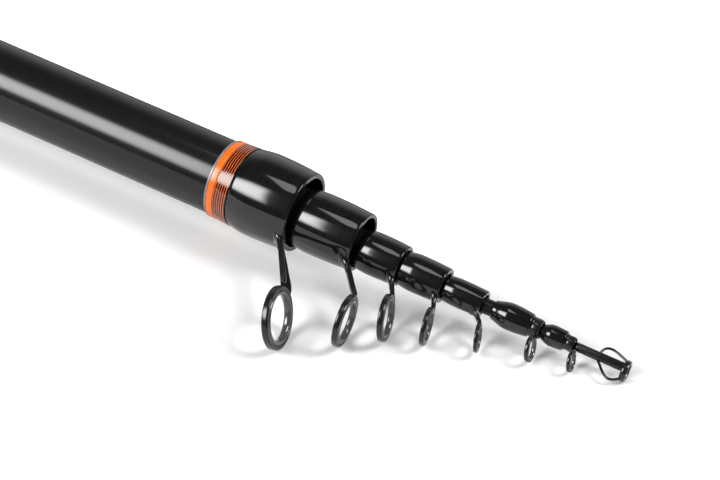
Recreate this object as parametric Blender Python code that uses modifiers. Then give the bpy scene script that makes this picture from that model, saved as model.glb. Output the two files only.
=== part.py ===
"""Telescopic float rod, closed, on its side. Metres, axis along +X from the butt, guides towards -Y."""

import math

import bmesh
import bpy
from mathutils import Matrix, Vector

# Butt section: the outer tube that holds all the others
BUTT_LENGTH = 0.578
BUTT_MOUTH_RADIUS = 0.0111
BUTT_WALL = 0.00075
BUTT_TAPER = 0.003
BUTT_SIDES = 32

# Inner sections, the thickest first. step is how far the mouth stands out of the mouth before it, overlap
# is what stays inside when the section is fully out, and wrap is the outer radius of the sleeve at the mouth.
SECTIONS = (
    {"step": 0.0196, "radius": 0.00790, "wall": 0.00055, "overlap": 0.080, "wrap": 0.00890, "sides": 28},
    {"step": 0.0132, "radius": 0.00515, "wall": 0.00040, "overlap": 0.060, "wrap": 0.00605, "sides": 24},
    {"step": 0.0131, "radius": 0.00415, "wall": 0.00040, "overlap": 0.050, "wrap": 0.00525, "sides": 24},
    {"step": 0.0119, "radius": 0.00310, "wall": 0.00035, "overlap": 0.045, "wrap": 0.00387, "sides": 20},
    {"step": 0.0171, "radius": 0.00220, "wall": 0.00030, "overlap": 0.040, "wrap": 0.00333, "sides": 18},
    {"step": 0.0098, "radius": 0.00155, "wall": 0.00030, "overlap": 0.035, "wrap": 0.00285, "sides": 16},
    {"step": 0.0128, "radius": 0.00090, "wall": 0.00040, "overlap": 0.030, "sides": 12},
)
RUN_GAP = 0.00015  # left between a section and its parent where it jams, fully out
REST_GAP = 0.0002  # left under a section that lies in its parent
SEAT_GAP = 0.0003  # left between pieces that are glued, screwed or pushed together
BOND_GAP = 0.0002  # glue line between a sleeve and its tube

# Lacquered sleeves
LIP_INSET = 0.04  # share of the wrap's radius by which its lip is smaller
SHOULDER = 0.0035  # length of the rounding behind the lip
SWELL_SHARE = 0.6  # share of the sleeve behind its shoulder over which it swells
BUTT_WRAP_RADIUS = 0.01225
BUTT_WRAP_LENGTH = 0.0195
BUTT_WRAP_STEP = 0.0006  # by which its rear edge is smaller than its crown
REAR_FULLNESS = 0.6  # height of a sleeve's rear edge, as a share of its height at the crown
BULB_FULLNESS = 0.3  # the same for the bulbs of the thin sections
BARE_NECKS = {6: 0.0026}  # bare tube that shows behind the sleeve, by the section's number

# Bands on the butt section, from the mouth backwards
PINSTRIPE_LENGTH = 0.0044
ORANGE_LENGTH = 0.0019
SEAM_LENGTH = 0.0006
BAND_THICKNESS = 0.0004

# Line guides: ring radius, reach from the rod's axis to the ring's centre, how far that centre lies past
# the mouth, lean of the outer edge forwards and twist about the leg in degrees, width of the leg, thickness
# of its metal, and length of the foot under the sleeve.
LEGGED_GUIDES = (
    {
        "ring": 0.0087, "reach": 0.0351, "ahead": 0.0130, "lean": 13, "twist": 13,
        "leg": 0.0024, "metal": 0.00050, "foot": 0.0110,
    },
    {
        "ring": 0.0074, "reach": 0.0259, "ahead": 0.0090, "lean": 6, "twist": 0,
        "leg": 0.0022, "metal": 0.00045, "foot": 0.0110,
    },
    {
        "ring": 0.0066, "reach": 0.0179, "ahead": 0.0042, "lean": 13, "twist": 6,
        "leg": 0.0020, "metal": 0.00045, "foot": 0.0090,
    },
    {
        "ring": 0.0054, "reach": 0.0147, "ahead": 0.0019, "lean": 11, "twist": 1,
        "leg": 0.0018, "metal": 0.00040, "foot": 0.0085,
    },
    {
        "ring": 0.0041, "reach": 0.0109, "ahead": 0.0034, "lean": 16, "twist": 4,
        "leg": 0.0016, "metal": 0.00030, "foot": 0.0070,
    },
)
LOW_GUIDES = (
    {"ring": 0.0037, "rise": 0.0006, "ahead": 0.0, "lean": 6, "twist": 12, "collar": 0.0027},
    {"ring": 0.0030, "rise": 0.0002, "ahead": 0.0013, "lean": 6, "twist": 12, "collar": 0.0024},
)
HOOP_WALL = 0.14  # share of the ring's radius that is metal hoop
INSERT_WALL = 0.15  # share of the ring's radius that is ceramic
HOOP_DEPTH = 0.0004  # depth of the hoop along the rod, to which a share of the ring's radius is added
HOOP_DEPTH_SHARE = 0.17
HOOP_EDGE = 0.03  # broken edge of a hoop, as a share of the ring's radius
INSERT_STANDS_OUT = 0.0001
INSERT_ROUNDING = 0.35  # share of the ceramic's wall that is rounded off towards the hole
COLLAR_WALL = 0.00025
LEG_ROOT = 0.0009  # where the leg leaves the sleeve, behind the mouth
LEG_FLARE = 1.9  # width of the leg at the hoop, in widths at the sleeve
FOOT_TAPER = 0.7  # width of the foot's end, in widths of the leg
RIB_WIDTH = 0.45  # the rib pressed into the leg, in widths of the leg
RIB_HEIGHT = 2.4  # its height, in thicknesses of the leg
RIB_LIFT = 0.6
FOOT_GAP = 0.00012
POST_SHARE = 0.5  # width of a low guide's post, in radii of its ring
RING_SIDES = 22

# Tip guide
TIP_RING_RADIUS = 0.0030
TIP_HOLE_RADIUS = 0.0019
TIP_RING_DEPTH = 0.0016
TIP_TUBE_LENGTH = 0.0122
TIP_TUBE_WALL = 0.00024
TIP_BOND = 0.00012
TIP_ARM_LENGTH = 0.0076
TIP_WIRE_RADIUS = 0.00036
TIP_ARM_BULGE = 0.0025  # by which an arm bows out from the straight line between its ends
TIP_ARM_STEPS = 7
TIP_ARMS = (("outer", 1, 0.8), ("inner", -1, 2.0))  # side, and how strongly the bow is drawn to the rear
TIP_RING_OFFSET = 0.0009
TIP_RING_AHEAD = 0.0008  # air between the end of the tip guide's tube and its ring

# Butt end: threaded ring, screw cap, rubber button, shock pad and seal
KNOB_RADIUS = 0.0152
KNOB_LENGTH = 0.0100
BUTTON_RADIUS = 0.0098
BUTTON_STANDS_OUT = 0.0015
BUTTON_THICKNESS = 0.0035
BUTTON_EDGE = 0.0006
SPIGOT_LENGTH = 0.0078
THREAD_GAP = 0.0002
PAD_THICKNESS = 0.0040
PAD_STANDS_OUT = 0.0020
SEAL_THICKNESS = 0.0009
THREAD_RING_WALL = 0.0018
RING_OVER_BLANK = 0.0160
CAP_FLUTES = 24
FLUTE_DEPTH = 0.0004

# Handle
GRIP_RADIUS = 0.0158
GRIP_ROUNDING = 0.0040
GRIP_CROWN = 0.0008
REAR_GRIP_LENGTH = 0.112
FORE_GRIP_LENGTH = 0.042
FORE_GRIP_CONE = 0.55  # share of the fore grip's length before it narrows
FORE_GRIP_TAIL = 0.0009
TRIM_LENGTH = 0.0030
TRIM_RADIUS = 0.0153
CORNER = 0.0004
BARREL_LENGTH = 0.100
BARREL_WALL = 0.0018
BED_DEPTH = 0.0010  # the flat on which the reel's foot lies, below the barrel's round
BED_RELIEF = 0.0002  # by which the flat is lower under the hoods and the nut
KEY_WIDTH = 0.0024
KEY_DEPTH = 0.0007
KEY_GAP = 0.0002
HOOD_SETBACK = 0.0010
HOOD_LENGTH = 0.0180
HOOD_WALL = 0.0008
HOOD_ROOM = 0.0056  # height of the pocket over the bed
POCKET_WIDTH = 0.0156
POCKET_WALL = 0.0012
POCKET_FLOOR = 0.5  # level of the pocket's lower edges, as a share of the bed's
CROWN_FLOOR = 0.35  # the same for the hood's crown over the pocket
CROWN_ROUNDING = 0.75  # edges of the crown, in thicknesses of the pocket's wall
NUT_LENGTH = 0.0120
NUT_WALL = 0.0012
NUT_FLUTES = 24
NUT_REST = 0.0090  # thread left in front of the lock nut
THROUGH = 0.002  # how far a cutter runs past what it cuts

GUIDE_DROOP = math.radians(15.0)  # the guides lie this far below level
GUIDE_TURN = math.pi / 2 + GUIDE_DROOP


def clear_scene():
    for item in list(bpy.data.objects):
        bpy.data.objects.remove(item, do_unlink=True)


def new_collection(name):
    collection = bpy.data.collections.new(name)
    bpy.context.scene.collection.children.link(collection)
    return collection


clear_scene()
PARTS = new_collection("fishing_rod")
CUTTERS = new_collection("fishing_rod_cutters")


def finish(name, colour, roughness, metallic=0.0, coat=0.0):
    material = bpy.data.materials.new(name)
    material.use_nodes = True
    shader = material.node_tree.nodes["Principled BSDF"]
    shader.inputs["Base Color"].default_value = (*colour, 1.0)
    shader.inputs["Roughness"].default_value = roughness
    shader.inputs["Metallic"].default_value = metallic
    shader.inputs["Coat Weight"].default_value = coat
    material.diffuse_color = (*colour, 1.0)
    return material


BLANK = finish("satin_black_blank", (0.012, 0.012, 0.013), 0.28)
LACQUER = finish("gloss_black_lacquer", (0.008, 0.008, 0.009), 0.08, coat=1.0)
ORANGE = finish("orange_lacquer", (0.86, 0.14, 0.02), 0.2, coat=1.0)
SILVER = finish("silver_seam", (0.55, 0.56, 0.58), 0.3, 0.8)
FRAME = finish("black_guide_metal", (0.02, 0.02, 0.022), 0.25, 0.7)
CERAMIC = finish("dark_ceramic", (0.06, 0.06, 0.065), 0.15)
RUBBER = finish("black_rubber", (0.02, 0.02, 0.02), 0.75)
GRIP = finish("grip_foam", (0.03, 0.03, 0.03), 0.9)
SEAT = finish("seat_plastic", (0.02, 0.02, 0.022), 0.4)
GUNMETAL = finish("gunmetal", (0.16, 0.16, 0.18), 0.3, 0.9)
PAD_FOAM = finish("pad_foam", (0.12, 0.12, 0.12), 0.9)


def show(item, material):
    PARTS.objects.link(item)
    item.data.materials.clear()
    item.data.materials.append(material)
    return item


def hide_as_cutter(item):
    CUTTERS.objects.link(item)
    item.hide_render = True
    item.display_type = "WIRE"
    return item


def turned(name, profile, sides, hollow=True):
    """A turned body along X. profile holds (x, radius) points: a closed loop, or from axis to axis if solid."""
    mesh = bpy.data.meshes.new(name)
    points = list(profile)
    loop = points + points[:1]
    area = sum(r0 * x1 - r1 * x0 for (x0, r0), (x1, r1) in zip(loop, loop[1:]))
    if area > 0:
        points.reverse()
    edges = [(i, i + 1) for i in range(len(points) - 1)]
    if hollow:
        edges.append((len(points) - 1, 0))
    mesh.from_pydata([(r, 0.0, x) for x, r in points], edges, [])
    item = bpy.data.objects.new(name, mesh)
    item.rotation_euler = (0.0, math.pi / 2, 0.0)
    turn = item.modifiers.new("Turn", "SCREW")
    turn.axis = "Z"
    turn.angle = 2 * math.pi
    turn.steps = sides
    turn.render_steps = sides
    turn.use_merge_vertices = True
    turn.merge_threshold = 0.00001
    turn.use_smooth_shade = True
    return item


def sleeve_profile(start, end, inner, outer, chamfer=0.0):
    """A hollow cylinder's outline, its outer corners broken. Radii are numbers or functions of x."""
    inside = inner if callable(inner) else lambda x: inner
    outside = outer if callable(outer) else lambda x: outer
    if not chamfer:
        return [(start, inside(start)), (start, outside(start)), (end, outside(end)), (end, inside(end))]
    return [
        (start, inside(start)),
        (start, outside(start) - chamfer),
        (start + chamfer, outside(start)),
        (end - chamfer, outside(end)),
        (end, outside(end) - chamfer),
        (end, inside(end)),
    ]


def block(name, low, high):
    """A box between two corners, in its own coordinates."""
    mesh = bpy.data.meshes.new(name)
    shape = bmesh.new()
    bmesh.ops.create_cube(shape, size=1.0)
    size = [b - a for a, b in zip(low, high)]
    middle = Vector([(a + b) / 2 for a, b in zip(low, high)])
    bmesh.ops.scale(shape, vec=size, verts=shape.verts)
    bmesh.ops.translate(shape, vec=middle, verts=shape.verts)
    shape.to_mesh(mesh)
    shape.free()
    return bpy.data.objects.new(name, mesh)


def ribbon(name, path, widths, thickness):
    """A bent strip of metal in the X-Z plane: path holds (x, z) points, widths one width for each."""
    mesh = bpy.data.meshes.new(name)
    shape = bmesh.new()
    rows = []
    for (x, z), width in zip(path, widths):
        rows.append([shape.verts.new((x, side * width / 2, z)) for side in (-1, 1)])
    for (a, b), (c, d) in zip(rows, rows[1:]):
        shape.faces.new((a, b, d, c))
    shape.to_mesh(mesh)
    shape.free()
    item = bpy.data.objects.new(name, mesh)
    wall = item.modifiers.new("Metal", "SOLIDIFY")
    wall.thickness = thickness
    wall.offset = 0.0
    wall.use_even_offset = True
    return item


def fluted(name, start, end, radius, bore, flutes, depth=FLUTE_DEPTH):
    """A knurled ring or disc along X, from a flat outline with scalloped flutes."""
    outline = bpy.data.curves.new(name, "CURVE")
    outline.dimensions = "2D"
    outline.fill_mode = "BOTH"
    outline.extrude = (end - start) / 2
    crest_points = 3
    rings = [[radius - (depth if k % crest_points == 0 else 0.0) for k in range(flutes * crest_points)]]
    if bore:
        rings.append([bore] * BUTT_SIDES)
    for radii in rings:
        spline = outline.splines.new("POLY")
        spline.points.add(len(radii) - 1)
        spline.use_cyclic_u = True
        for k, point in enumerate(spline.points):
            angle = 2 * math.pi * k / len(radii)
            point.co = (radii[k] * math.cos(angle), radii[k] * math.sin(angle), 0.0, 1.0)
    flat = bpy.data.objects.new(name + "_outline", outline)
    item = meshed(name, flat, Matrix.Translation((0, 0, (start + end) / 2)))
    item.rotation_euler = (0.0, math.pi / 2, 0.0)
    return item


def meshed(name, curve_object, shift=Matrix.Identity(4)):
    """The curve object as a closed mesh object; the curve itself is removed."""
    bpy.context.scene.collection.objects.link(curve_object)
    bpy.context.view_layer.update()
    graph = bpy.context.evaluated_depsgraph_get()
    mesh = bpy.data.meshes.new_from_object(curve_object.evaluated_get(graph))
    place = curve_object.matrix_world.copy()
    bpy.data.objects.remove(curve_object, do_unlink=True)
    shape = bmesh.new()
    shape.from_mesh(mesh)
    bmesh.ops.remove_doubles(shape, verts=shape.verts, dist=0.000001)
    bmesh.ops.recalc_face_normals(shape, faces=shape.faces)
    shape.to_mesh(mesh)
    shape.free()
    mesh.transform(shift)
    item = bpy.data.objects.new(name, mesh)
    item.matrix_world = place
    return item


def plug(name, start, end, radius, sides=BUTT_SIDES):
    """A plain cylinder on the axis, to be joined on or cut away."""
    return turned(name, [(start, 0.0), (start, radius), (end, radius), (end, 0.0)], sides, hollow=False)


def combine(item, other, operation):
    """item with other joined on or cut away; other becomes a hidden cutter."""
    hide_as_cutter(other)
    step = item.modifiers.new(operation.title() + " " + other.name, "BOOLEAN")
    step.operation = operation
    step.solver = "EXACT"
    step.object = other
    return item


class Tube:
    """A hollow tapered tube of the rod, with its place, radii and what it slides in."""

    def __init__(self, number, mouth, radius, wall, taper, sides, drop=0.0):
        self.number = number
        self.mouth = mouth
        self.radius = radius
        self.wall = wall
        self.taper = taper
        self.sides = sides
        self.drop = drop
        self.axis = None

    def outside(self, x):
        return self.radius + self.taper * (self.mouth - x)

    def bore(self, x):
        return self.outside(x) - self.wall

    def place(self, item):
        item.location.z = self.drop
        return self.carry(item)

    def carry(self, item):
        """Parents an item, left where it is, to the empty on this tube's axis."""
        if self.axis is None:
            self.axis = bpy.data.objects.new(f"section_{self.number}_axis", None)
            self.axis.location = (self.mouth, 0.0, self.drop)
            PARTS.objects.link(self.axis)
        item.parent = self.axis
        item.matrix_parent_inverse = Matrix.Translation((self.mouth, 0.0, self.drop)).inverted()
        return item


KNOB_FACE = BUTTON_STANDS_OUT + KNOB_LENGTH
RING_START = KNOB_FACE + SEAL_THICKNESS + 2 * SEAT_GAP
SPIGOT_END = RING_START + SPIGOT_LENGTH
BLANK_START = SPIGOT_END + SEAT_GAP
PAD_FACE = SPIGOT_END + PAD_STANDS_OUT
SECTION_START = PAD_FACE + SEAT_GAP


def lay_out_tubes():
    """The butt tube, then each section: it lies on its parent's wall, and jams in its mouth when it is out."""
    mouth = BLANK_START + BUTT_LENGTH
    tubes = [Tube(1, mouth, BUTT_MOUTH_RADIUS, BUTT_WALL, BUTT_TAPER, BUTT_SIDES)]
    for number, section in enumerate(SECTIONS, start=2):
        parent = tubes[-1]
        radius = section["radius"]
        mouth = parent.mouth + section["step"]
        length = mouth - SECTION_START
        room = parent.bore(parent.mouth) - RUN_GAP - radius
        taper = min(room / (length - section["overlap"]), (room + parent.taper * section["overlap"]) / length)
        tube = Tube(number, mouth, radius, section["wall"], taper, section["sides"])
        gap_at_mouth = parent.bore(parent.mouth) - tube.outside(parent.mouth)
        gap_at_butt = parent.bore(SECTION_START) - tube.outside(SECTION_START)
        tube.drop = parent.drop - (min(gap_at_mouth, gap_at_butt) - REST_GAP)
        tubes.append(tube)
    return tubes


TUBES = lay_out_tubes()
BUTT = TUBES[0]


def make_tubes():
    for tube in TUBES:
        name = "butt_blank" if tube is BUTT else f"section_{tube.number}_blank"
        start = BLANK_START if tube is BUTT else SECTION_START
        profile = sleeve_profile(start, tube.mouth, tube.bore, tube.outside)
        show(tube.place(turned(name, profile, tube.sides)), BLANK)


def barrel_profile(tube, start, end, radius, rear_radius, inner):
    """A lacquered sleeve: it swells from its rear end, and rounds down to the lip at the mouth."""
    lip = radius * (1 - LIP_INSET)
    swell = (end - start - SHOULDER) * SWELL_SHARE
    shoulder = min(SHOULDER, (end - start) / 2)
    points = [(start, inner(start)), (start, rear_radius)]
    steps = 3
    for k in range(1, steps + 1):
        share = k / steps
        ease = math.sin(share * math.pi / 2)
        points.append((start + swell * share, rear_radius + (radius - rear_radius) * ease))
    for k in range(steps + 1):
        angle = k / steps * math.pi / 2
        x = end - shoulder + shoulder * math.sin(angle)
        points.append((x, lip + (radius - lip) * math.cos(angle)))
    points.append((end, inner(end)))
    return points


def guide_place(tube, item):
    """Puts something modelled with Z pointing out through the guides onto a tube's axis."""
    item.rotation_euler = (GUIDE_TURN, 0.0, 0.0)
    item.location = (0.0, 0.0, tube.drop)
    return tube.carry(item)


def foot_level(tube, guide):
    """Distance from the axis to the middle of a guide's foot."""
    return tube.outside(tube.mouth - guide["foot"] - LEG_ROOT) + FOOT_GAP + guide["metal"] / 2


def cut_foot_pocket(wrap, tube, guide, radius):
    """A pocket under the sleeve for the guide's foot, and the notch at the lip where its leg comes out."""
    half = guide["leg"] / 2 + FOOT_GAP
    inside = tube.outside(tube.mouth) / 2
    top = foot_level(tube, guide) + guide["metal"] / 2 + FOOT_GAP
    rear = tube.mouth - LEG_ROOT - guide["foot"] - FOOT_GAP
    front = tube.mouth + SHOULDER
    notch = tube.mouth - LEG_ROOT - guide["metal"] - 2 * FOOT_GAP
    pocket = block(wrap.name + "_pocket", (rear, -half, inside), (front, half, top))
    slot = block(wrap.name + "_notch", (notch, -half, inside), (front, half, radius * 2))
    combine(wrap, guide_place(tube, pocket), "DIFFERENCE")
    combine(wrap, guide_place(tube, slot), "DIFFERENCE")


def make_wraps():
    """The lacquered sleeve at each mouth."""
    wrap_start = BUTT.mouth - BUTT_WRAP_LENGTH
    inner = lambda x: BUTT.outside(x) + BOND_GAP
    rear = BUTT_WRAP_RADIUS - BUTT_WRAP_STEP
    profile = barrel_profile(BUTT, wrap_start, BUTT.mouth, BUTT_WRAP_RADIUS, rear, inner)
    wrap = show(turned("butt_front_wrap", profile, BUTT.sides), LACQUER)
    cut_foot_pocket(wrap, BUTT, LEGGED_GUIDES[0], BUTT_WRAP_RADIUS)
    for tube, parent, section in zip(TUBES[1:-1], TUBES, SECTIONS):
        start = parent.mouth + SEAT_GAP + BARE_NECKS.get(tube.number, 0.0)
        legged = tube.number - 1 < len(LEGGED_GUIDES)
        collar = 0.0 if legged else LOW_GUIDES[tube.number - 6]["collar"] + SEAT_GAP
        inner = lambda x, tube=tube: tube.outside(x) + BOND_GAP
        rear = inner(start) + (section["wrap"] - inner(start)) * (REAR_FULLNESS if legged else BULB_FULLNESS)
        profile = barrel_profile(tube, start, tube.mouth - collar, section["wrap"], rear, inner)
        wrap = show(tube.place(turned(f"section_{tube.number}_wrap", profile, tube.sides)), LACQUER)
        if legged:
            cut_foot_pocket(wrap, tube, LEGGED_GUIDES[tube.number - 1], section["wrap"])


def make_bands():
    """Orange ring, fine orange lines and the pale seam ring behind the butt section's sleeve."""
    end = BUTT.mouth - BUTT_WRAP_LENGTH - SEAT_GAP / 3
    inner = lambda x: BUTT.outside(x) + BOND_GAP
    outer = BUTT.outside(end) + BOND_GAP + BAND_THICKNESS
    start = end - PINSTRIPE_LENGTH
    show(turned("pinstripe_band", sleeve_profile(start, end, inner, outer), BUTT.sides), ORANGE)
    rest = (("orange_band", ORANGE_LENGTH, ORANGE), ("seam_ring", SEAM_LENGTH, SILVER))
    for name, length, material in rest:
        end = start - SEAT_GAP / 3
        start = end - length
        show(turned(name, sleeve_profile(start, end, inner, outer), BUTT.sides), material)


def hoop_profile(inner, outer, depth, edge):
    half = depth / 2
    return [
        (-half + edge, inner),
        (-half, inner + edge),
        (-half, outer - edge),
        (-half + edge, outer),
        (half - edge, outer),
        (half, outer - edge),
        (half, inner + edge),
        (half - edge, inner),
    ]


def hoop_depth(ring):
    return HOOP_DEPTH + HOOP_DEPTH_SHARE * ring


def ring_place(item, tube, ahead, reach, lean=0.0, twist=0.0):
    """Stands a ring that was turned about X at its reach from the rod, leaning and twisted about its leg."""
    turn = Matrix.Rotation(GUIDE_TURN, 4, "X")
    centre = turn @ Vector((0.0, 0.0, reach))
    face = Matrix.Rotation(math.radians(lean), 4, "Y") @ Matrix.Rotation(math.radians(twist), 4, "Z")
    stand = Matrix.Rotation(math.pi / 2, 4, "Y")
    spot = Matrix.Translation((tube.mouth + ahead, centre.y, tube.drop + centre.z))
    item.matrix_world = spot @ turn @ face @ stand
    return tube.carry(item)


def make_ring(number, tube, guide, reach):
    """The metal hoop and the ceramic insert of one guide; the hoop is given back for its leg."""
    ring = guide["ring"]
    place = (guide["ahead"], reach, guide["lean"], guide["twist"])
    depth = hoop_depth(ring)
    hoop_hole = ring * (1 - HOOP_WALL)
    profile = hoop_profile(hoop_hole, ring, depth, ring * HOOP_EDGE)
    hoop = turned(f"guide_{number}_frame", profile, RING_SIDES)
    outer = hoop_hole - FOOT_GAP
    hole = outer - ring * INSERT_WALL
    half = depth / 2 + INSERT_STANDS_OUT
    round_off = (outer - hole) * INSERT_ROUNDING
    profile = [
        (-half, hole + round_off),
        (-half, outer),
        (half, outer),
        (half, hole + round_off),
        (half - round_off, hole),
        (round_off - half, hole),
    ]
    insert = turned(f"guide_{number}_insert", profile, RING_SIDES)
    show(ring_place(insert, tube, *place), CERAMIC)
    return show(ring_place(hoop, tube, *place), FRAME)


def hoop_foot(guide, reach):
    """The point of the hoop nearest the rod, as (ahead of the mouth, distance from the axis)."""
    grip = guide["ring"] * (1 - HOOP_WALL / 2)
    lean = math.radians(guide["lean"])
    return guide["ahead"] - math.sin(lean) * grip, reach - math.cos(lean) * grip


def make_legged_guide(number, tube, guide):
    """A single-foot guide: hoop, leg and the foot that lies under the sleeve, in one piece of metal."""
    hoop = make_ring(number, tube, guide, guide["reach"])
    top_x, top_z = hoop_foot(guide, guide["reach"])
    metal = guide["metal"]
    level = foot_level(tube, guide)
    root = -LEG_ROOT
    knee_x = root + metal
    knee_z = level + 2 * metal
    path = [
        (root - guide["foot"], level),
        (root - 2 * metal, level),
        (root, level + metal * FOOT_TAPER),
        (knee_x, knee_z),
        ((knee_x + top_x) / 2, (knee_z + top_z) / 2 + metal / 2),
        (top_x, top_z),
    ]
    leg = guide["leg"]
    widths = [leg * FOOT_TAPER, leg, leg, leg, leg * (1 + LEG_FLARE) / 2, leg * LEG_FLARE]
    strip = ribbon(f"guide_{number}_leg", [(tube.mouth + x, z) for x, z in path], widths, metal)
    combine(hoop, guide_place(tube, strip), "UNION")
    lift = metal * RIB_LIFT
    spine = [(tube.mouth + x + lift / 2, z - lift / 2) for x, z in path[3:5]]
    spine.append((tube.mouth + top_x, top_z))
    rib = ribbon(f"guide_{number}_rib", spine, [leg * RIB_WIDTH] * 3, metal * RIB_HEIGHT)
    combine(hoop, guide_place(tube, rib), "UNION")


def make_low_guide(number, tube, guide):
    """A low guide whose hoop stands on a thin collar that is slipped over the tube's mouth."""
    start = tube.mouth - guide["collar"]
    inner = tube.outside(start) + BOND_GAP
    outer = inner + COLLAR_WALL
    reach = outer + guide["rise"] + guide["ring"]
    hoop = make_ring(number, tube, guide, reach)
    top_x, top_z = hoop_foot(guide, reach)
    half = guide["ring"] * POST_SHARE / 2
    depth = hoop_depth(guide["ring"]) / 2
    low = (start + guide["collar"] / 3, -half, (tube.outside(tube.mouth) + inner) / 2)
    post = block(f"guide_{number}_post", low, (tube.mouth + top_x + depth / 2, half, top_z))
    combine(hoop, guide_place(tube, post), "UNION")
    combine(hoop, tube.place(plug(f"guide_{number}_collar", start, tube.mouth, outer, tube.sides)), "UNION")
    bore = plug(f"guide_{number}_bore", start - depth, tube.mouth + top_x + 2 * depth, inner, tube.sides)
    combine(hoop, tube.place(bore), "DIFFERENCE")


def make_tip_guide():
    """The tip guide: a tube over the end of the last section, two wire arms and a ring round the line."""
    tube = TUBES[-1]
    start = tube.mouth - TIP_TUBE_LENGTH
    stop = tube.mouth + SEAT_GAP
    end = stop + TIP_TUBE_WALL
    inner = tube.outside(start) + TIP_BOND
    outer = inner + TIP_TUBE_WALL
    ahead = end + TIP_RING_AHEAD + TIP_RING_DEPTH / 2 - tube.mouth
    ring_inner = TIP_RING_RADIUS * (1 - HOOP_WALL)
    edge = TIP_RING_RADIUS * HOOP_EDGE
    profile = hoop_profile(ring_inner, TIP_RING_RADIUS, TIP_RING_DEPTH, edge)
    hoop = turned("tip_guide_frame", profile, RING_SIDES)
    show(ring_place(hoop, tube, ahead, TIP_RING_OFFSET), FRAME)
    combine(hoop, tube.place(plug("tip_guide_tube", start, end, outer, tube.sides)), "UNION")
    front = tube.mouth + ahead - TIP_RING_DEPTH / 4
    root = outer - TIP_WIRE_RADIUS / 2
    for name, side, skew in TIP_ARMS:
        grip = TIP_RING_OFFSET * side + ring_inner + TIP_WIRE_RADIUS
        route = []
        for k in range(TIP_ARM_STEPS + 1):
            share = (k / TIP_ARM_STEPS) ** skew
            bow = TIP_ARM_BULGE * math.sin(math.pi * k / TIP_ARM_STEPS)
            x = front - TIP_ARM_LENGTH * (1 - share)
            route.append((x, side * (root + (grip - root) * share + bow)))
        arm = wire(f"tip_guide_{name}_arm", route)
        combine(hoop, guide_place(tube, arm), "UNION")
    bore = plug("tip_guide_bore", start - TIP_TUBE_WALL, stop, inner, tube.sides)
    combine(hoop, tube.place(bore), "DIFFERENCE")
    profile = hoop_profile(TIP_HOLE_RADIUS, ring_inner - FOOT_GAP, TIP_RING_DEPTH, edge)
    insert = turned("tip_guide_insert", profile, RING_SIDES)
    show(ring_place(insert, tube, ahead, TIP_RING_OFFSET), CERAMIC)


def wire(name, route):
    curve = bpy.data.curves.new(name, "CURVE")
    curve.dimensions = "3D"
    curve.bevel_depth = TIP_WIRE_RADIUS
    curve.bevel_resolution = 1
    curve.use_fill_caps = True
    spline = curve.splines.new("POLY")
    spline.points.add(len(route) - 1)
    for point, (x, z) in zip(spline.points, route):
        point.co = (x, 0.0, z, 1.0)
    return meshed(name, bpy.data.objects.new(name + "_route", curve))


def make_butt_end():
    """Screw cap with its rubber button, seal and shock pad, and the threaded ring that it screws into."""
    thread = BUTT.outside(BLANK_START) + SEAT_GAP
    ring_outer = thread + THREAD_RING_WALL
    ring_end = BLANK_START + RING_OVER_BLANK
    profile = sleeve_profile(RING_START, ring_end, thread, ring_outer, CORNER)
    show(turned("butt_thread_ring", profile, BUTT_SIDES), GUNMETAL)

    cap = show(fluted("butt_cap", BUTTON_STANDS_OUT, KNOB_FACE, KNOB_RADIUS, 0.0, CAP_FLUTES), GUNMETAL)
    spigot_radius = thread - THREAD_GAP
    combine(cap, plug("butt_cap_spigot", KNOB_FACE - KNOB_LENGTH / 4, SPIGOT_END, spigot_radius), "UNION")
    pad_radius = BUTT.bore(BLANK_START) - SEAT_GAP
    pad_seat = PAD_FACE - PAD_THICKNESS
    socket = plug("butt_cap_pad_seat", pad_seat - SEAT_GAP, SPIGOT_END + THROUGH, pad_radius + SEAT_GAP)
    combine(cap, socket, "DIFFERENCE")
    recess_end = BUTTON_THICKNESS + SEAT_GAP
    combine(cap, plug("butt_cap_recess", -THROUGH, recess_end, BUTTON_RADIUS + SEAT_GAP), "DIFFERENCE")

    profile = [
        (0.0, 0.0),
        (0.0, BUTTON_RADIUS - BUTTON_EDGE),
        (BUTTON_EDGE, BUTTON_RADIUS),
        (BUTTON_THICKNESS, BUTTON_RADIUS),
        (BUTTON_THICKNESS, 0.0),
    ]
    show(turned("butt_button", profile, BUTT_SIDES, hollow=False), RUBBER)
    show(plug("butt_pad", pad_seat, PAD_FACE, pad_radius), PAD_FOAM)
    seal_start = KNOB_FACE + SEAT_GAP
    seal_end = seal_start + SEAL_THICKNESS
    seal_inner = spigot_radius + THREAD_GAP
    profile = sleeve_profile(seal_start, seal_end, seal_inner, ring_outer - SEAT_GAP)
    show(turned("butt_seal", profile, BUTT_SIDES), RUBBER)
    return ring_end


def seated(x):
    """Bore radius of what is pushed onto the butt section, at x."""
    return BUTT.outside(x) + SEAT_GAP


def make_trim(name, start, radius=TRIM_RADIUS):
    end = start + TRIM_LENGTH
    show(turned(name, sleeve_profile(start, end, seated, radius, CORNER), BUTT_SIDES), GUNMETAL)
    return end + SEAT_GAP


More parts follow.
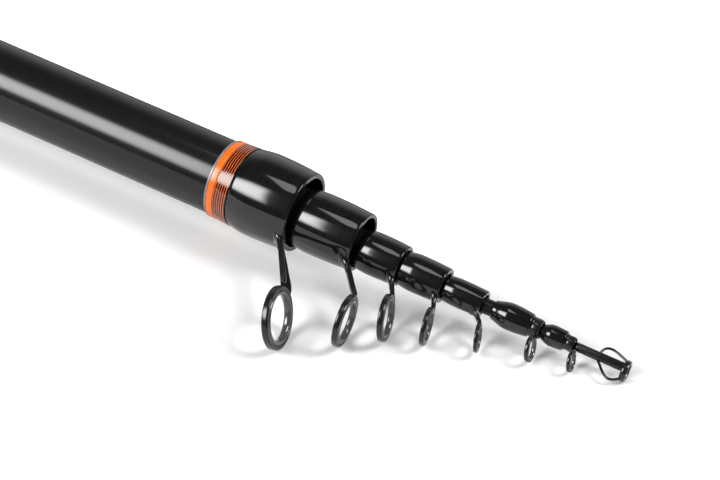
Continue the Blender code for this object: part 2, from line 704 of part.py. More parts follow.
def make_handle(start):
    """Rear grip, trim rings, reel seat with its hoods and lock nut, and the fore grip, one after another."""
    end = start + REAR_GRIP_LENGTH
    waist = GRIP_RADIUS - GRIP_CROWN
    profile = [
        (start, seated(start)),
        (start, waist),
        (start + GRIP_ROUNDING, GRIP_RADIUS),
        (end - 4 * GRIP_ROUNDING, GRIP_RADIUS),
        (end, waist),
        (end, seated(end)),
    ]
    show(turned("rear_grip", profile, BUTT_SIDES), GRIP)
    barrel_start = make_trim("rear_trim_ring", end + SEAT_GAP)
    barrel_end = make_reel_seat(barrel_start)

    start = make_trim("fore_trim_ring", barrel_end + SEAT_GAP)
    end = start + FORE_GRIP_LENGTH
    tail = seated(end) + FORE_GRIP_TAIL
    profile = [
        (start, seated(start)),
        (start, waist),
        (start + GRIP_ROUNDING, GRIP_RADIUS - GRIP_CROWN / 2),
        (start + FORE_GRIP_LENGTH * FORE_GRIP_CONE, GRIP_RADIUS - GRIP_CROWN / 2),
        (end, tail),
        (end, seated(end)),
    ]
    show(turned("fore_grip", profile, BUTT_SIDES), GRIP)
    make_trim("winding_check", end + SEAT_GAP, tail + CORNER)


def make_reel_seat(start):
    """The barrel with the reel foot's bed and the key groove, both hoods and the lock nut."""
    end = start + BARREL_LENGTH
    inner = seated(start)
    outer = inner + BARREL_WALL
    bed = outer - BED_DEPTH
    profile = sleeve_profile(start, end, inner, outer, CORNER)
    barrel = show(turned("reel_seat_barrel", profile, BUTT_SIDES), SEAT)
    fixed_start = start + HOOD_SETBACK
    nut_end = end - NUT_REST
    nut_start = nut_end - NUT_LENGTH
    sliding_start = nut_start - SEAT_GAP - HOOD_LENGTH
    foot_start = fixed_start + HOOD_LENGTH + SEAT_GAP
    foot_end = sliding_start - SEAT_GAP
    cuts = (
        ("rear", fixed_start, foot_start, bed - BED_RELIEF),
        ("foot", foot_start, foot_end, bed),
        ("front", foot_end, end + THROUGH, bed - BED_RELIEF),
    )
    for name, low, high, level in cuts:
        flat = block(f"reel_seat_{name}_flat", (low, -outer, level), (high, outer, outer + THROUGH))
        combine(barrel, guide_place(BUTT, flat), "DIFFERENCE")
    groove = key_block("reel_seat_groove", fixed_start, end + THROUGH, outer - KEY_DEPTH, outer + THROUGH, 0.0)
    combine(barrel, groove, "DIFFERENCE")

    make_hood("fixed_hood", fixed_start, outer, bed, opens_forwards=True)
    make_hood("sliding_hood", sliding_start, outer, bed, opens_forwards=False)
    nut_bore = outer + SEAT_GAP
    nut_radius = nut_bore + NUT_WALL + FLUTE_DEPTH
    show(fluted("lock_nut", nut_start, nut_end, nut_radius, nut_bore, NUT_FLUTES), GUNMETAL)
    return end


def key_block(name, start, end, low, high, gap):
    """A block on the side away from the guides, narrower than the key groove by a gap on each side."""
    half = KEY_WIDTH / 2 - gap
    return guide_place(BUTT, block(name, (start, -half, -high), (end, half, -low)))


def make_hood(name, start, barrel_outer, bed, opens_forwards):
    """A hood round the barrel: its pocket takes one end of the reel's foot, its key runs in the groove."""
    end = start + HOOD_LENGTH
    inner = barrel_outer + SEAT_GAP
    outer = inner + HOOD_WALL
    half = POCKET_WIDTH / 2
    roof = bed + HOOD_ROOM
    hood = show(plug(name, start, end, outer), GUNMETAL)
    inset = HOOD_WALL / 4
    side = half + POCKET_WALL
    low = (start + inset, -side, bed * CROWN_FLOOR)
    crown = block(name + "_crown", low, (end - inset, side, roof + POCKET_WALL))
    rounding = crown.modifiers.new("Rounding", "BEVEL")
    rounding.width = POCKET_WALL * CROWN_ROUNDING
    rounding.segments = 2
    combine(hood, guide_place(BUTT, crown), "UNION")
    back = start + POCKET_WALL if opens_forwards else start - THROUGH
    front = end + THROUGH if opens_forwards else end - POCKET_WALL
    pocket = block(name + "_pocket", (back, -half, bed * POCKET_FLOOR), (front, half, roof))
    combine(hood, guide_place(BUTT, pocket), "DIFFERENCE")
    combine(hood, plug(name + "_bore", start - THROUGH, end + THROUGH, inner), "DIFFERENCE")
    key_foot = barrel_outer - KEY_DEPTH + KEY_GAP
    key_top = inner + HOOD_WALL / 2
    key = key_block(name + "_key", start + 2 * inset, end - 2 * inset, key_foot, key_top, KEY_GAP)
    combine(hood, key, "UNION")


make_tubes()
make_wraps()
make_bands()
for index, guide in enumerate(LEGGED_GUIDES):
    make_legged_guide(index + 1, TUBES[index], guide)
for index, guide in enumerate(LOW_GUIDES):
    make_low_guide(index + 6, TUBES[index + 5], guide)
make_tip_guide()
make_handle(make_butt_end() + SEAT_GAP)

for tube in TUBES:
    place = f"mouth x {tube.mouth:.4f}, drop {tube.drop:.5f}"
    print(f"tube {tube.number}: {place}, taper {tube.taper:.5f}")
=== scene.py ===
import math
from collections import namedtuple

import bmesh
import bpy
from mathutils import Matrix, Vector


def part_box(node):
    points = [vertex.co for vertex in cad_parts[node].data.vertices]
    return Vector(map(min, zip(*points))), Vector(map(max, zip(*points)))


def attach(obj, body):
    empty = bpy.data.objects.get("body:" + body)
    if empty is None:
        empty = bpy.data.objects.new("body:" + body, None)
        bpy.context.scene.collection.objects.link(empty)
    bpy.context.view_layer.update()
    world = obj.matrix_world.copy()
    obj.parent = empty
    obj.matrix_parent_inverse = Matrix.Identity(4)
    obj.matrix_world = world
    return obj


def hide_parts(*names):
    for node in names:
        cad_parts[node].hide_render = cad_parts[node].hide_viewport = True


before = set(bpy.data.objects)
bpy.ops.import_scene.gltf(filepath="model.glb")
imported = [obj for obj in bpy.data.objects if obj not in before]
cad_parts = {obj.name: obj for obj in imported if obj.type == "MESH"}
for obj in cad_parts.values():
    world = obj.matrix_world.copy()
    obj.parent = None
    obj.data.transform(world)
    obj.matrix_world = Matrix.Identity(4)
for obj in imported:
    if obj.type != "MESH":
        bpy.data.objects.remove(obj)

scene = bpy.context.scene
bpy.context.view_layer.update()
print("frame loaded with", len(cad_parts), "solids")

rod = {
    "droop": math.radians(15.0),  # how far the guides hang below level
    "sides": 120,  # round a thick tube
    "fineSides": 72,  # round a thin one
    "ringSides": 96,  # round a guide's ring
    "edge": 0.00008,  # rounding of thin metal
    "seat": 0.00022,  # how far a blank stops short of its lip
    "sharp": math.radians(38.0),  # an edge that turns further is drawn sharp
    "weld": 0.0000004, "latheWeld": 0.0000005,  # points closer than this become one
    "leastRounding": 0.000002,
    "near": 0.00002,  # how exactly a solid's end points are looked for
}
white = (1.0, 1.0, 1.0, 1.0)


def wireMethod(operation):
    return lambda wire, *others: wire.graph.maths(operation, wire, *others)


class Wire:  # a node's output that takes part in Python arithmetic
    def __init__(self, graph, socket):
        self.graph = graph
        self.socket = socket

    __add__ = __radd__ = wireMethod("ADD")
    __sub__ = wireMethod("SUBTRACT")
    __mul__ = __rmul__ = wireMethod("MULTIPLY")
    __truediv__ = wireMethod("DIVIDE")
    __pow__ = wireMethod("POWER")
    sine = wireMethod("SINE")
    cosine = wireMethod("COSINE")
    floor = wireMethod("FLOOR")
    exponent = wireMethod("EXPONENT")
    over = wireMethod("GREATER_THAN")

    def __rsub__(self, other):
        return self.graph.maths("SUBTRACT", other, self)

    def held(self):
        return self.graph.add("ShaderNodeMath", [self, 0.0], {"operation": "ADD", "use_clamp": True})

    def ease(self, low, high):
        values = {0: self, 1: low, 2: high, 3: 0.0, 4: 1.0}
        return self.graph.add("ShaderNodeMapRange", values, {"interpolation_type": "SMOOTHSTEP"})


class Graph:  # adds and links the nodes of one tree
    def __init__(self, tree):
        self.tree = tree

    def add(self, kind, inputs=(), settings=None, output=0):
        node = self.tree.nodes.new(kind)
        for key, value in (settings or {}).items():
            setattr(node, key, value)
        for key, value in inputs.items() if isinstance(inputs, dict) else enumerate(inputs):
            if isinstance(value, Wire):
                self.tree.links.new(value.socket, node.inputs[key])
            elif value is not None:
                node.inputs[key].default_value = value
        return Wire(self, node.outputs[output])

    def maths(self, operation, *values):
        return self.add("ShaderNodeMath", values, {"operation": operation})

    def parts(self, vector):
        split = self.add("ShaderNodeSeparateXYZ", [vector]).socket.node
        return [Wire(self, socket) for socket in split.outputs]

    def point(self, x, y=0.0, z=0.0):
        return self.add("ShaderNodeCombineXYZ", [x, y, z])

    def blend(self, share, one, other):
        return self.add("ShaderNodeMix", {0: share, 6: one, 7: other}, {"data_type": "RGBA"}, output=2)

    def here(self):
        return self.add("ShaderNodeTexCoord", output="Object")

    def cameraRay(self):
        return self.add("ShaderNodeLightPath", output="Is Camera Ray")

    def circle(self, sides, radius):
        return self.add("GeometryNodeCurvePrimitiveCircle", {"Resolution": sides, "Radius": radius})

    def swept(self, curve, section, caps=True):
        return self.add("GeometryNodeCurveToMesh", {"Curve": curve, "Profile Curve": section, "Fill Caps": caps})

    def laid(self, geometry, start=0.0):  # turns what stands along z down onto the rod's axis
        turn = (0.0, math.pi / 2, 0.0)
        values = {"Geometry": geometry, "Translation": self.point(start), "Rotation": turn}
        return self.add("GeometryNodeTransform", values)

    def into(self, socket, wire):
        self.tree.links.new(wire.socket, socket)


shaderInputs = {
    "roughness": "Roughness", "coat": "Coat Weight", "coatRoughness": "Coat Roughness",
    "specular": "Specular IOR Level", "metal": "Metallic", "sheen": "Sheen Weight",
}


class Finish:  # a material of two tones whose grain comes from noises in the part's own space
    def __init__(self, name, look):
        self.look = look
        self.material = bpy.data.materials.new(name)
        self.material.use_nodes = True
        self.graph = Graph(self.material.node_tree)
        self.sockets = self.material.node_tree.nodes["Principled BSDF"].inputs
        self.sockets["Base Color"].default_value = (*look["base"], 1.0)
        for key, title in shaderInputs.items():
            if key in look:
                self.sockets[title].default_value = look[key]

    def noise(self, scale, detail=2.0, roughness=0.5):  # one scale, or one each for x, y and z
        scale = scale if isinstance(scale, tuple) else (scale,) * 3
        place = self.graph.add("ShaderNodeMapping", {"Vector": self.graph.here(), "Scale": scale})
        values = {"Vector": place, "Scale": 1.0, "Detail": detail, "Roughness": roughness}
        return self.graph.add("ShaderNodeTexNoise", values)

    def colour(self, share):
        base, light = ((*self.look[key], 1.0) for key in ("base", "light"))
        self.graph.into(self.sockets["Base Color"], self.graph.blend(share, base, light))

    def rough(self, amount):
        self.graph.into(self.sockets["Roughness"], amount)

    def relief(self, *layers):  # bumps as (height, strength, depth in metres), the last to be set
        normal = None
        for height, strength, depth in layers:
            values = {"Height": height, "Strength": strength, "Distance": depth, "Normal": normal}
            normal = self.graph.add("ShaderNodeBump", values)
        self.graph.into(self.sockets["Normal"], normal)
        return self.material


def makeBlank():  # satin carbon tube: tape lines, a trace of length-wise fibre, dust
    skin = Finish("satinBlank", {
        "base": (0.0045, 0.0045, 0.0050), "light": (0.0100, 0.0100, 0.0110),
        "roughness": 0.26, "coat": 0.54, "coatRoughness": 0.12, "specular": 0.12,
    })
    tape = skin.noise((1150.0, 14.0, 14.0), 3.0, 0.6)
    fibre = skin.noise((22.0, 900.0, 900.0))
    cloud = skin.noise(60.0, 4.0, 0.55)
    skin.colour(tape * 0.3 + fibre * 0.3 + cloud * 0.4 - 0.25)
    skin.rough(0.20 + cloud * 0.12 + tape * 0.06)
    return skin.relief((tape, 0.05, 0.00003), (cloud, 0.05, 0.0003))


def makeLacquer():  # deep black lacquer that has levelled over fine winding thread
    skin = Finish("blackLacquer", {
        "base": (0.0030, 0.0030, 0.0034), "light": (0.0075, 0.0075, 0.0082),
        "roughness": 0.16, "coat": 1.0, "coatRoughness": 0.06, "specular": 0.1,
    })
    thread = skin.noise((2900.0, 24.0, 24.0), 2.0, 0.55)
    level = skin.noise(190.0)
    skin.colour(thread.ease(0.35, 0.75))
    skin.rough(0.10 + thread * 0.14 + level * 0.04)
    return skin.relief((thread, 0.22, 0.00003), (level, 0.12, 0.00035))


def makeOrange():  # orange thread under clear lacquer, a little deeper between the turns
    skin = Finish("orangeThread", {
        "base": (0.840, 0.110, 0.006), "light": (0.960, 0.205, 0.012),
        "roughness": 0.28, "coat": 0.45, "coatRoughness": 0.14, "specular": 0.2,
    })
    turn = skin.noise((3600.0, 30.0, 30.0))
    cloud = skin.noise(160.0, 3.0, 0.6)
    skin.colour(turn * 0.7 + cloud * 0.5 - 0.2)
    skin.rough(0.18 + turn * 0.16)
    return skin.relief((turn, 0.2, 0.00003))


def makeSeam():  # pale metallic edge line
    skin = Finish("seamSilver", {
        "base": (0.12, 0.125, 0.135), "light": (0.30, 0.305, 0.32),
        "roughness": 0.3, "metal": 0.2, "coat": 0.25, "coatRoughness": 0.12, "specular": 0.3,
    })
    speck = skin.noise((1400.0, 700.0, 700.0), 3.0, 0.6)
    skin.colour(speck)
    skin.rough(0.22 + speck * 0.2)
    return skin.relief((speck, 0.2, 0.00003))


def makeGuideMetal():  # black plated steel with faint drawing marks
    skin = Finish("blackGuideMetal", {
        "base": (0.0080, 0.0080, 0.0088), "light": (0.024, 0.024, 0.026),
        "roughness": 0.2, "metal": 0.1, "coat": 0.5, "coatRoughness": 0.12, "specular": 0.25,
    })
    mark = skin.noise((900.0, 2600.0, 900.0), 3.0, 0.6)
    cloud = skin.noise(420.0, 3.0, 0.55)
    skin.colour(mark.ease(0.55, 0.85))
    skin.rough(0.14 + cloud * 0.14 + mark * 0.05)
    return skin.relief((mark, 0.06, 0.00002))


def makeCeramic():  # polished dark grey ring
    skin = Finish("darkCeramic", {
        "base": (0.040, 0.040, 0.043), "light": (0.060, 0.060, 0.064),
        "roughness": 0.16, "coat": 0.5, "coatRoughness": 0.12,
    })
    grain = skin.noise(2600.0)
    cloud = skin.noise(300.0)
    skin.colour(grain)
    skin.rough(0.09 + cloud * 0.08)
    return skin.relief((grain, 0.02, 0.00002))


def makeRubber():  # moulded rubber, greyed by dust in its pores
    skin = Finish("mouldedRubber", {
        "base": (0.017, 0.017, 0.017), "light": (0.050, 0.048, 0.046), "roughness": 0.7, "specular": 0.35,
    })
    pore = skin.noise(1500.0, 4.0, 0.6)
    cloud = skin.noise(90.0, 3.0, 0.6)
    skin.colour(cloud * pore * 1.6 - 0.15)
    skin.rough(0.55 + pore * 0.3)
    return skin.relief((pore, 0.35, 0.00008))


def makeFoam(name, base, light, cell):  # closed-cell foam with cut cells and scuffed crowns
    skin = Finish(name, {"base": base, "light": light, "roughness": 0.85, "specular": 0.3, "sheen": 0.15})
    values = {"Vector": skin.graph.here(), "Scale": cell, "Randomness": 1.0}
    spots = skin.graph.add("ShaderNodeTexVoronoi", values, output="Distance")
    cloud = skin.noise(120.0, 4.0, 0.6)
    fine = skin.noise(2400.0, 3.0, 0.6)
    skin.colour(cloud * 0.7 + fine * 0.5 - spots * 0.5 - 0.1)
    skin.rough(0.72 + fine * 0.25)
    return skin.relief((spots, 0.4, 0.0002), (fine, 0.25, 0.0001))


def makeSeatPlastic():  # glass-filled seat plastic, satin from the mould
    skin = Finish("seatPlastic", {
        "base": (0.017, 0.017, 0.018), "light": (0.034, 0.034, 0.036),
        "roughness": 0.38, "coat": 0.15, "coatRoughness": 0.2,
    })
    grain = skin.noise(1900.0, 3.0, 0.6)
    cloud = skin.noise(80.0, 3.0, 0.6)
    skin.colour(cloud.ease(0.4, 0.8))
    skin.rough(0.30 + grain * 0.2)
    return skin.relief((grain, 0.25, 0.00006))


def makeGunmetal():  # turned and anodised aluminium
    skin = Finish("gunmetal", {
        "base": (0.150, 0.152, 0.165), "light": (0.250, 0.252, 0.268), "roughness": 0.28, "metal": 0.95,
    })
    turning = skin.noise((5200.0, 40.0, 40.0), 2.0, 0.6)
    cloud = skin.noise(150.0, 3.0, 0.6)
    skin.colour(turning * 0.6 + cloud * 0.4)
    skin.rough(0.20 + turning * 0.16 + cloud * 0.08)
    return skin.relief((turning, 0.2, 0.00003))


blank = makeBlank()
lacquer = makeLacquer()
orange = makeOrange()
seam = makeSeam()
guideMetal = makeGuideMetal()
ceramic = makeCeramic()
rubber = makeRubber()
gripFoam = makeFoam("gripFoam", (0.022, 0.022, 0.023), (0.052, 0.052, 0.054), 1500.0)
padFoam = makeFoam("padFoam", (0.085, 0.085, 0.088), (0.150, 0.150, 0.155), 1100.0)
seatPlastic = makeSeatPlastic()
gunmetal = makeGunmetal()
print("finishes made:", len(bpy.data.materials))


def clean(mesh):
    shape = bmesh.new()
    shape.from_mesh(mesh)
    bmesh.ops.remove_doubles(shape, verts=shape.verts, dist=rod["weld"])
    bmesh.ops.dissolve_degenerate(shape, edges=shape.edges, dist=rod["weld"])
    bmesh.ops.recalc_face_normals(shape, faces=shape.faces)
    for face in shape.faces:
        face.smooth = True
    for edge in shape.edges:
        edge.smooth = len(edge.link_faces) == 2 and edge.calc_face_angle(0.0) < rod["sharp"]
    shape.to_mesh(mesh)
    shape.free()
    return mesh


def usedSlots(mesh):  # drops the material slots that no face uses, or joined pieces lose their finish
    used = sorted({face.material_index for face in mesh.polygons})
    kept = [mesh.materials[k] for k in used] if mesh.materials else []
    numbers = [used.index(face.material_index) for face in mesh.polygons]
    mesh.materials.clear()
    for material in kept:
        mesh.materials.append(material)
    mesh.polygons.foreach_set("material_index", numbers)
    return mesh


def coated(piece, material):
    piece.data.materials.clear()
    piece.data.materials.append(material)
    return piece


def meshOf(name, shape):
    mesh = bpy.data.meshes.new(name)
    shape.to_mesh(mesh)
    shape.free()
    return mesh


def newPiece(name, mesh):
    piece = bpy.data.objects.new(name, mesh)
    scene.collection.objects.link(piece)
    return piece


def settled(piece):  # live modifiers become the piece's own plain mesh
    bpy.context.view_layer.update()
    graph = bpy.context.evaluated_depsgraph_get()
    mesh = bpy.data.meshes.new_from_object(piece.evaluated_get(graph))
    piece.modifiers.clear()
    piece.data = clean(usedSlots(mesh))
    return piece


def softened(piece, width, segments):
    step = piece.modifiers.new("Soft edges", "BEVEL")
    step.width = width
    step.segments = segments
    step.limit_method = "ANGLE"
    step.angle_limit = math.radians(40)
    return settled(piece)


def newTree(name, wholes, reals):
    tree = bpy.data.node_groups.new(name, "GeometryNodeTree")
    tree.interface.new_socket(name="Geometry", in_out="OUTPUT", socket_type="NodeSocketGeometry")
    kinds = (("Geometry", ["Geometry"]), ("Int", wholes), ("Float", reals), ("Material", ["Finish"]))
    for kind, titles in kinds:
        for title in titles:
            tree.interface.new_socket(name=title, in_out="INPUT", socket_type="NodeSocket" + kind)
    graph = Graph(tree)
    entry = tree.nodes.new("NodeGroupInput")
    return graph, {socket.name: Wire(graph, socket) for socket in entry.outputs if socket.name}


def closeTree(graph, geometry, given):
    solid = graph.add("GeometryNodeRealizeInstances", [geometry])
    solid = graph.add("GeometryNodeSetMaterial", {"Geometry": solid, "Material": given["Finish"]})
    leave = graph.tree.nodes.new("NodeGroupOutput")
    graph.into(leave.inputs[0], solid)
    return graph.tree


def grown(name, tree, values, points=((0.0, 0.0, 0.0),), edges=()):
    # runs a tree on some points and keeps the result as a plain piece
    mesh = bpy.data.meshes.new(name)
    mesh.from_pydata(list(points), list(edges), [])
    piece = newPiece(name, mesh)
    modifier = piece.modifiers.new("Rule", "NODES")
    modifier.node_group = tree
    for item in tree.interface.items_tree:
        if item.in_out == "INPUT" and item.name in values:
            modifier[item.identifier] = values[item.name]
    return settled(piece)


def makeLathe():
    # turns an outline of (x, radius) points about the rod's axis, and swells it over a guide's foot
    graph, given = newTree("lathe", ["Rows", "Sides"], [
        "Drop", "Foot angle", "Foot rear", "Foot front", "Foot width", "Foot height", "Skin radius",
    ])
    columns = given["Sides"] + 1.0
    grid = graph.add("GeometryNodeMeshGrid", {"Vertices X": given["Rows"], "Vertices Y": columns})
    index = graph.add("GeometryNodeInputIndex")
    row = ((index + 0.5) / columns).floor()
    angle = (index - row * columns) * (2 * math.pi) / given["Sides"]
    values = {"Geometry": given["Geometry"], "Value": graph.add("GeometryNodeInputPosition"), "Index": row}
    outline = graph.add("GeometryNodeSampleIndex", values, {"data_type": "FLOAT_VECTOR"})
    along, radius = graph.parts(outline)[:2]
    turn = angle - given["Foot angle"]
    across = (1.0 - turn.cosine()) * radius * radius * 2.0  # the square of the distance from the foot's line
    side = (across * -1.0 / (given["Foot width"] * given["Foot width"])).exponent()
    run = given["Foot front"] - given["Foot rear"]
    span = ((along - given["Foot rear"]) / run).ease(-0.25, 0.45)
    skin = radius.over(given["Skin radius"])
    swollen = radius + given["Foot height"] * side * span * skin
    spot = graph.point(along, swollen * angle.cosine(), swollen * angle.sine() + given["Drop"])
    shaped = graph.add("GeometryNodeSetPosition", {"Geometry": grid, "Position": spot})
    welded = graph.add("GeometryNodeMergeByDistance", {"Geometry": shaped, "Distance": rod["latheWeld"]})
    return closeTree(graph, welded, given)


lathe = makeLathe()
noFoot = {"Foot front": 1.0, "Foot width": 0.001, "Skin radius": 1.0}


def rounded(corners, steps):
    # an outline's (x, radius, rounding) corners as close points; a corner without rounding stays sharp
    points = []
    count = len(corners)
    for k, corner in enumerate(corners):
        here = Vector(corner[:2])
        size = corner[2] if len(corner) > 2 else 0.0
        before = Vector(corners[k - 1][:2]) - here
        after = Vector(corners[(k + 1) % count][:2]) - here
        size = min(size, before.length * 0.49, after.length * 0.49)
        if size < rod["leastRounding"]:
            points.append((here.x, here.y))
            continue
        start = here + before.normalized() * size
        end = here + after.normalized() * size
        for step in range(steps + 1):
            t = step / steps
            spot = start * (1 - t) ** 2 + here * 2 * t * (1 - t) + end * t * t
            points.append((spot.x, spot.y))
    return points


def lathed(name, corners, material, steps=4, sides=None, drop=0.0, foot=None, hollow=True):
    points = rounded(corners, steps)
    if hollow:
        points.append(points[0])
    values = {"Rows": len(points), "Sides": sides or rod["sides"], "Drop": drop, "Finish": material}
    values.update(foot or noFoot)
    return grown(name, lathe, values, [(x, radius, 0.0) for x, radius in points])


def ringWall(start, end, inner, outer, rearEdge=0.0, frontEdge=0.0):
    return [(start, inner), (start, outer, rearEdge), (end, outer, frontEdge), (end, inner)]


def fit(piece, body, *nodes):
    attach(piece, body)
    if nodes:
        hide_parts(*nodes)
    return piece


Solid = namedtuple("Solid", "start end rear front crown")


def readSolid(node, drop=0.0):
    # a turned solid's ends, its (outer, inner) radii at each, and its widest radius
    low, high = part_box(node)
    places = [(v.co.x, math.hypot(v.co.y, v.co.z - drop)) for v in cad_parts[node].data.vertices]
    ends = []
    for end in (low.x, high.x):
        found = [radius for x, radius in places if abs(x - end) < rod["near"]]
        ends.append((max(found), min(found)))
    return Solid(low.x, high.x, *ends, max(radius for x, radius in places))


class Tube:  # one blank's place and radii, from its solid
    def __init__(self, number):
        self.number = number
        name = f"section_{number}"
        self.body = "butt" if number == 1 else name
        self.guideBody = "butt" if number == 1 else name + "_guide"
        self.node = "butt_blank" if number == 1 else name + "_blank"
        self.wrap = "butt_front_wrap" if number == 1 else name + "_wrap"
        self.sides = rod["sides"] if number < 4 else rod["fineSides"]
        low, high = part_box(self.node)
        self.drop = (low.z + high.z) / 2
        self.solid = readSolid(self.node, self.drop)
        self.start = self.solid.start
        self.mouth = self.solid.end

    def between(self, which, x):
        share = (x - self.start) / (self.mouth - self.start)
        rear = self.solid.rear[which]
        return rear + (self.solid.front[which] - rear) * share

    def outer(self, x):
        return self.between(0, x)

    def bore(self, x):
        return self.between(1, x)

    def space(self):  # z points along the guide's leg, from the tube's axis
        turn = Matrix.Rotation(math.pi / 2 + rod["droop"], 4, "X")
        return Matrix.Translation((0.0, 0.0, self.drop)) @ turn


tubes = [Tube(number) for number in range(1, 9)]


def makeBlanks():
    for tube in tubes:
        start = tube.start
        end = tube.mouth - (rod["seat"] if tube.number < 8 else 0.0)
        corners = [
            (start, tube.bore(start)), (start, tube.outer(start), 0.00015),
            (end, tube.outer(end), 0.00010), (end, tube.bore(end)),
        ]
        piece = lathed(f"blank_{tube.number}", corners, blank, 5, tube.sides, tube.drop)
        fit(piece, tube.body, tube.node)


makeBlanks()
print("blanks turned")

legged = {  # the five guides on legs, from the butt's on; lean, twist and aside in degrees
    "ring": (0.0087, 0.0074, 0.0066, 0.0054, 0.0041),
    "reach": (0.0351, 0.0259, 0.0179, 0.0147, 0.0109),
    "ahead": (0.0130, 0.0090, 0.0042, 0.0019, 0.0034),
    "lean": (13, 6, 13, 11, 16),
    "twist": (13, 0, 6, 1, 4),
    "leg": (0.0024, 0.0022, 0.0020, 0.0018, 0.0016),
    "metal": (0.00050, 0.00045, 0.00045, 0.00040, 0.00030),
    "foot": (0.0110, 0.0110, 0.0090, 0.0085, 0.0070),
    "deep": (0.0015, 0.0014, 0.0012, 0.0011, 0.0009),
    "slant": (0.0016, 0.0001, 0.0003, 0.0, 0.0003),
    "aside": (23, 3, 3, 0, 0),
}
low = {  # the two guides on collars
    "ring": (0.0037, 0.0030), "rise": (0.0006, 0.0002), "ahead": (0.0, 0.0013),
    "lean": (6, 6), "twist": (12, 12), "collar": (0.0027, 0.0024),
}
hoops = {
    "wall": 0.14, "insertWall": 0.15, "depth": 0.0004, "depthShare": 0.17, "proud": 0.0001, "gap": 0.00003,
    "root": 0.0009,  # how far behind the mouth the leg leaves the lacquer
}
leggedCount = len(legged["ring"])
sleeves = {
    "crown": 0.30,  # share of the length at which a sleeve is thickest
    "fullness": (1.024, 1.024, 1.024, 1.024, 1.024, 1.13, 1.03),  # its radius there against the solid's
    "spindle": 0.43,  # the crown's place on the two slim sleeves
    "slowRise": 1.35,  # they also rise more gently
    "fall": 2.1,  # how late a sleeve rounds down to its lip
    "edge": 0.00012, "lipRounding": 0.00032, "gap": 0.00006, "slimGap": 0.00003,
    "footSwell": 0.00030, "footSpread": 1.15,
}
bands = {
    "lines": 6, "line": 0.00036, "pitch": 0.00073, "proud": 0.00004, "gap": 0.00005, "edge": 0.00008,
    "flare": 0.00024,  # the winding under the lines thickens towards the sleeve
    "ahead": 0.0010, "mouthAhead": 0.0005,  # ahead of the solids
}


def guideOf(number):
    rows, k = (legged, number - 1) if number <= leggedCount else (low, number - 1 - leggedCount)
    return {key: row[k] for key, row in rows.items()}


def lipCurve(end, lip, bore):
    # the rounded edge of the mouth, from the shoulder round to the bore
    size = min(sleeves["lipRounding"], (lip - bore) * 0.6)
    points = []
    for k in range(9):
        angle = k / 8 * math.pi / 2
        points.append((end - size + size * math.sin(angle), lip - size * 0.8 * (1 - math.cos(angle))))
    inside = min(size * 0.6, (points[-1][1] - bore) * 0.8)
    for k in range(1, 7):
        angle = k / 6 * math.pi / 2
        points.append((end - inside * (1 - math.cos(angle)), bore + inside * (1 - math.sin(angle))))
    return points


def sleeveOutline(tube, start, end, rear, crown, lip):
    # rear edge, swelling back, long shoulder, lip turned into the mouth, and the wall that lies on the blank
    slim = tube.number > leggedCount
    bore = tube.outer(end) + sleeves["slimGap"] if slim else tube.bore(end)
    back = start + (end - start) * sleeves["spindle" if slim else "crown"]
    edge = sleeves["edge"]
    points = [(start, tube.outer(start) + sleeves["gap"]), (start, rear - edge), (start + edge, rear)]
    for k in range(1, 13):
        share = k / 12
        rise = math.sin(share * math.pi / 2) ** (sleeves["slowRise"] if slim else 1.0)
        points.append((start + (back - start) * share, rear + (crown - rear) * rise))
    for k in range(1, 24):
        share = k / 24
        points.append((back + (end - back) * share, crown - (crown - lip) * share ** sleeves["fall"]))
    points += lipCurve(end, lip, bore)
    points.append((end - rod["seat"] * 0.8, tube.outer(end) + sleeves["gap"]))
    return points


def makeSleeve(tube):
    solid = readSolid(tube.wrap, tube.drop)
    start, end, rear, lip = solid.start, solid.end, solid.rear[0], solid.front[0]
    if tube.number == 1:  # its rear edge meets the flared bands
        rear += bands["flare"]
        start += bands["ahead"]
        end += bands["mouthAhead"]
    crown = solid.crown * sleeves["fullness"][tube.number - 1]
    points = sleeveOutline(tube, start, end, rear, crown, lip)
    foot = None
    if tube.number <= leggedCount:
        guide = guideOf(tube.number)
        foot = {
            "Foot angle": rod["droop"] - math.pi,
            "Foot rear": end - hoops["root"] - guide["foot"], "Foot front": end,
            "Foot width": guide["leg"] * sleeves["footSpread"], "Foot height": sleeves["footSwell"],
            "Skin radius": (tube.outer(end) + lip) / 2,
        }
    piece = lathed(f"sleeve_{tube.number}", points, lacquer, 4, tube.sides, tube.drop, foot)
    fit(piece, tube.guideBody, tube.wrap)


for tube in tubes[:7]:
    makeSleeve(tube)
print("lacquered sleeves turned")


def makeThreadRings():
    # turns of coloured thread side by side round a tube
    graph, given = newTree("threadRings", ["Count", "Sides"], ["Start", "Pitch", "Radius", "Thread", "Flare"])
    line = graph.add("GeometryNodeMeshLine", {
        "Count": given["Count"], "Start Location": graph.point(given["Start"]),
        "Offset": graph.point(given["Pitch"]),
    }, {"mode": "OFFSET"})
    circle = graph.circle(given["Sides"], given["Radius"])
    turn = graph.swept(circle, graph.circle(10, given["Thread"]), False)
    wider = 1.0 + graph.add("GeometryNodeInputIndex") * given["Flare"]
    values = {"Points": line, "Instance": graph.laid(turn), "Scale": graph.point(1.0, wider, wider)}
    return closeTree(graph, graph.add("GeometryNodeInstanceOnPoints", values), given)


threadRings = makeThreadRings()


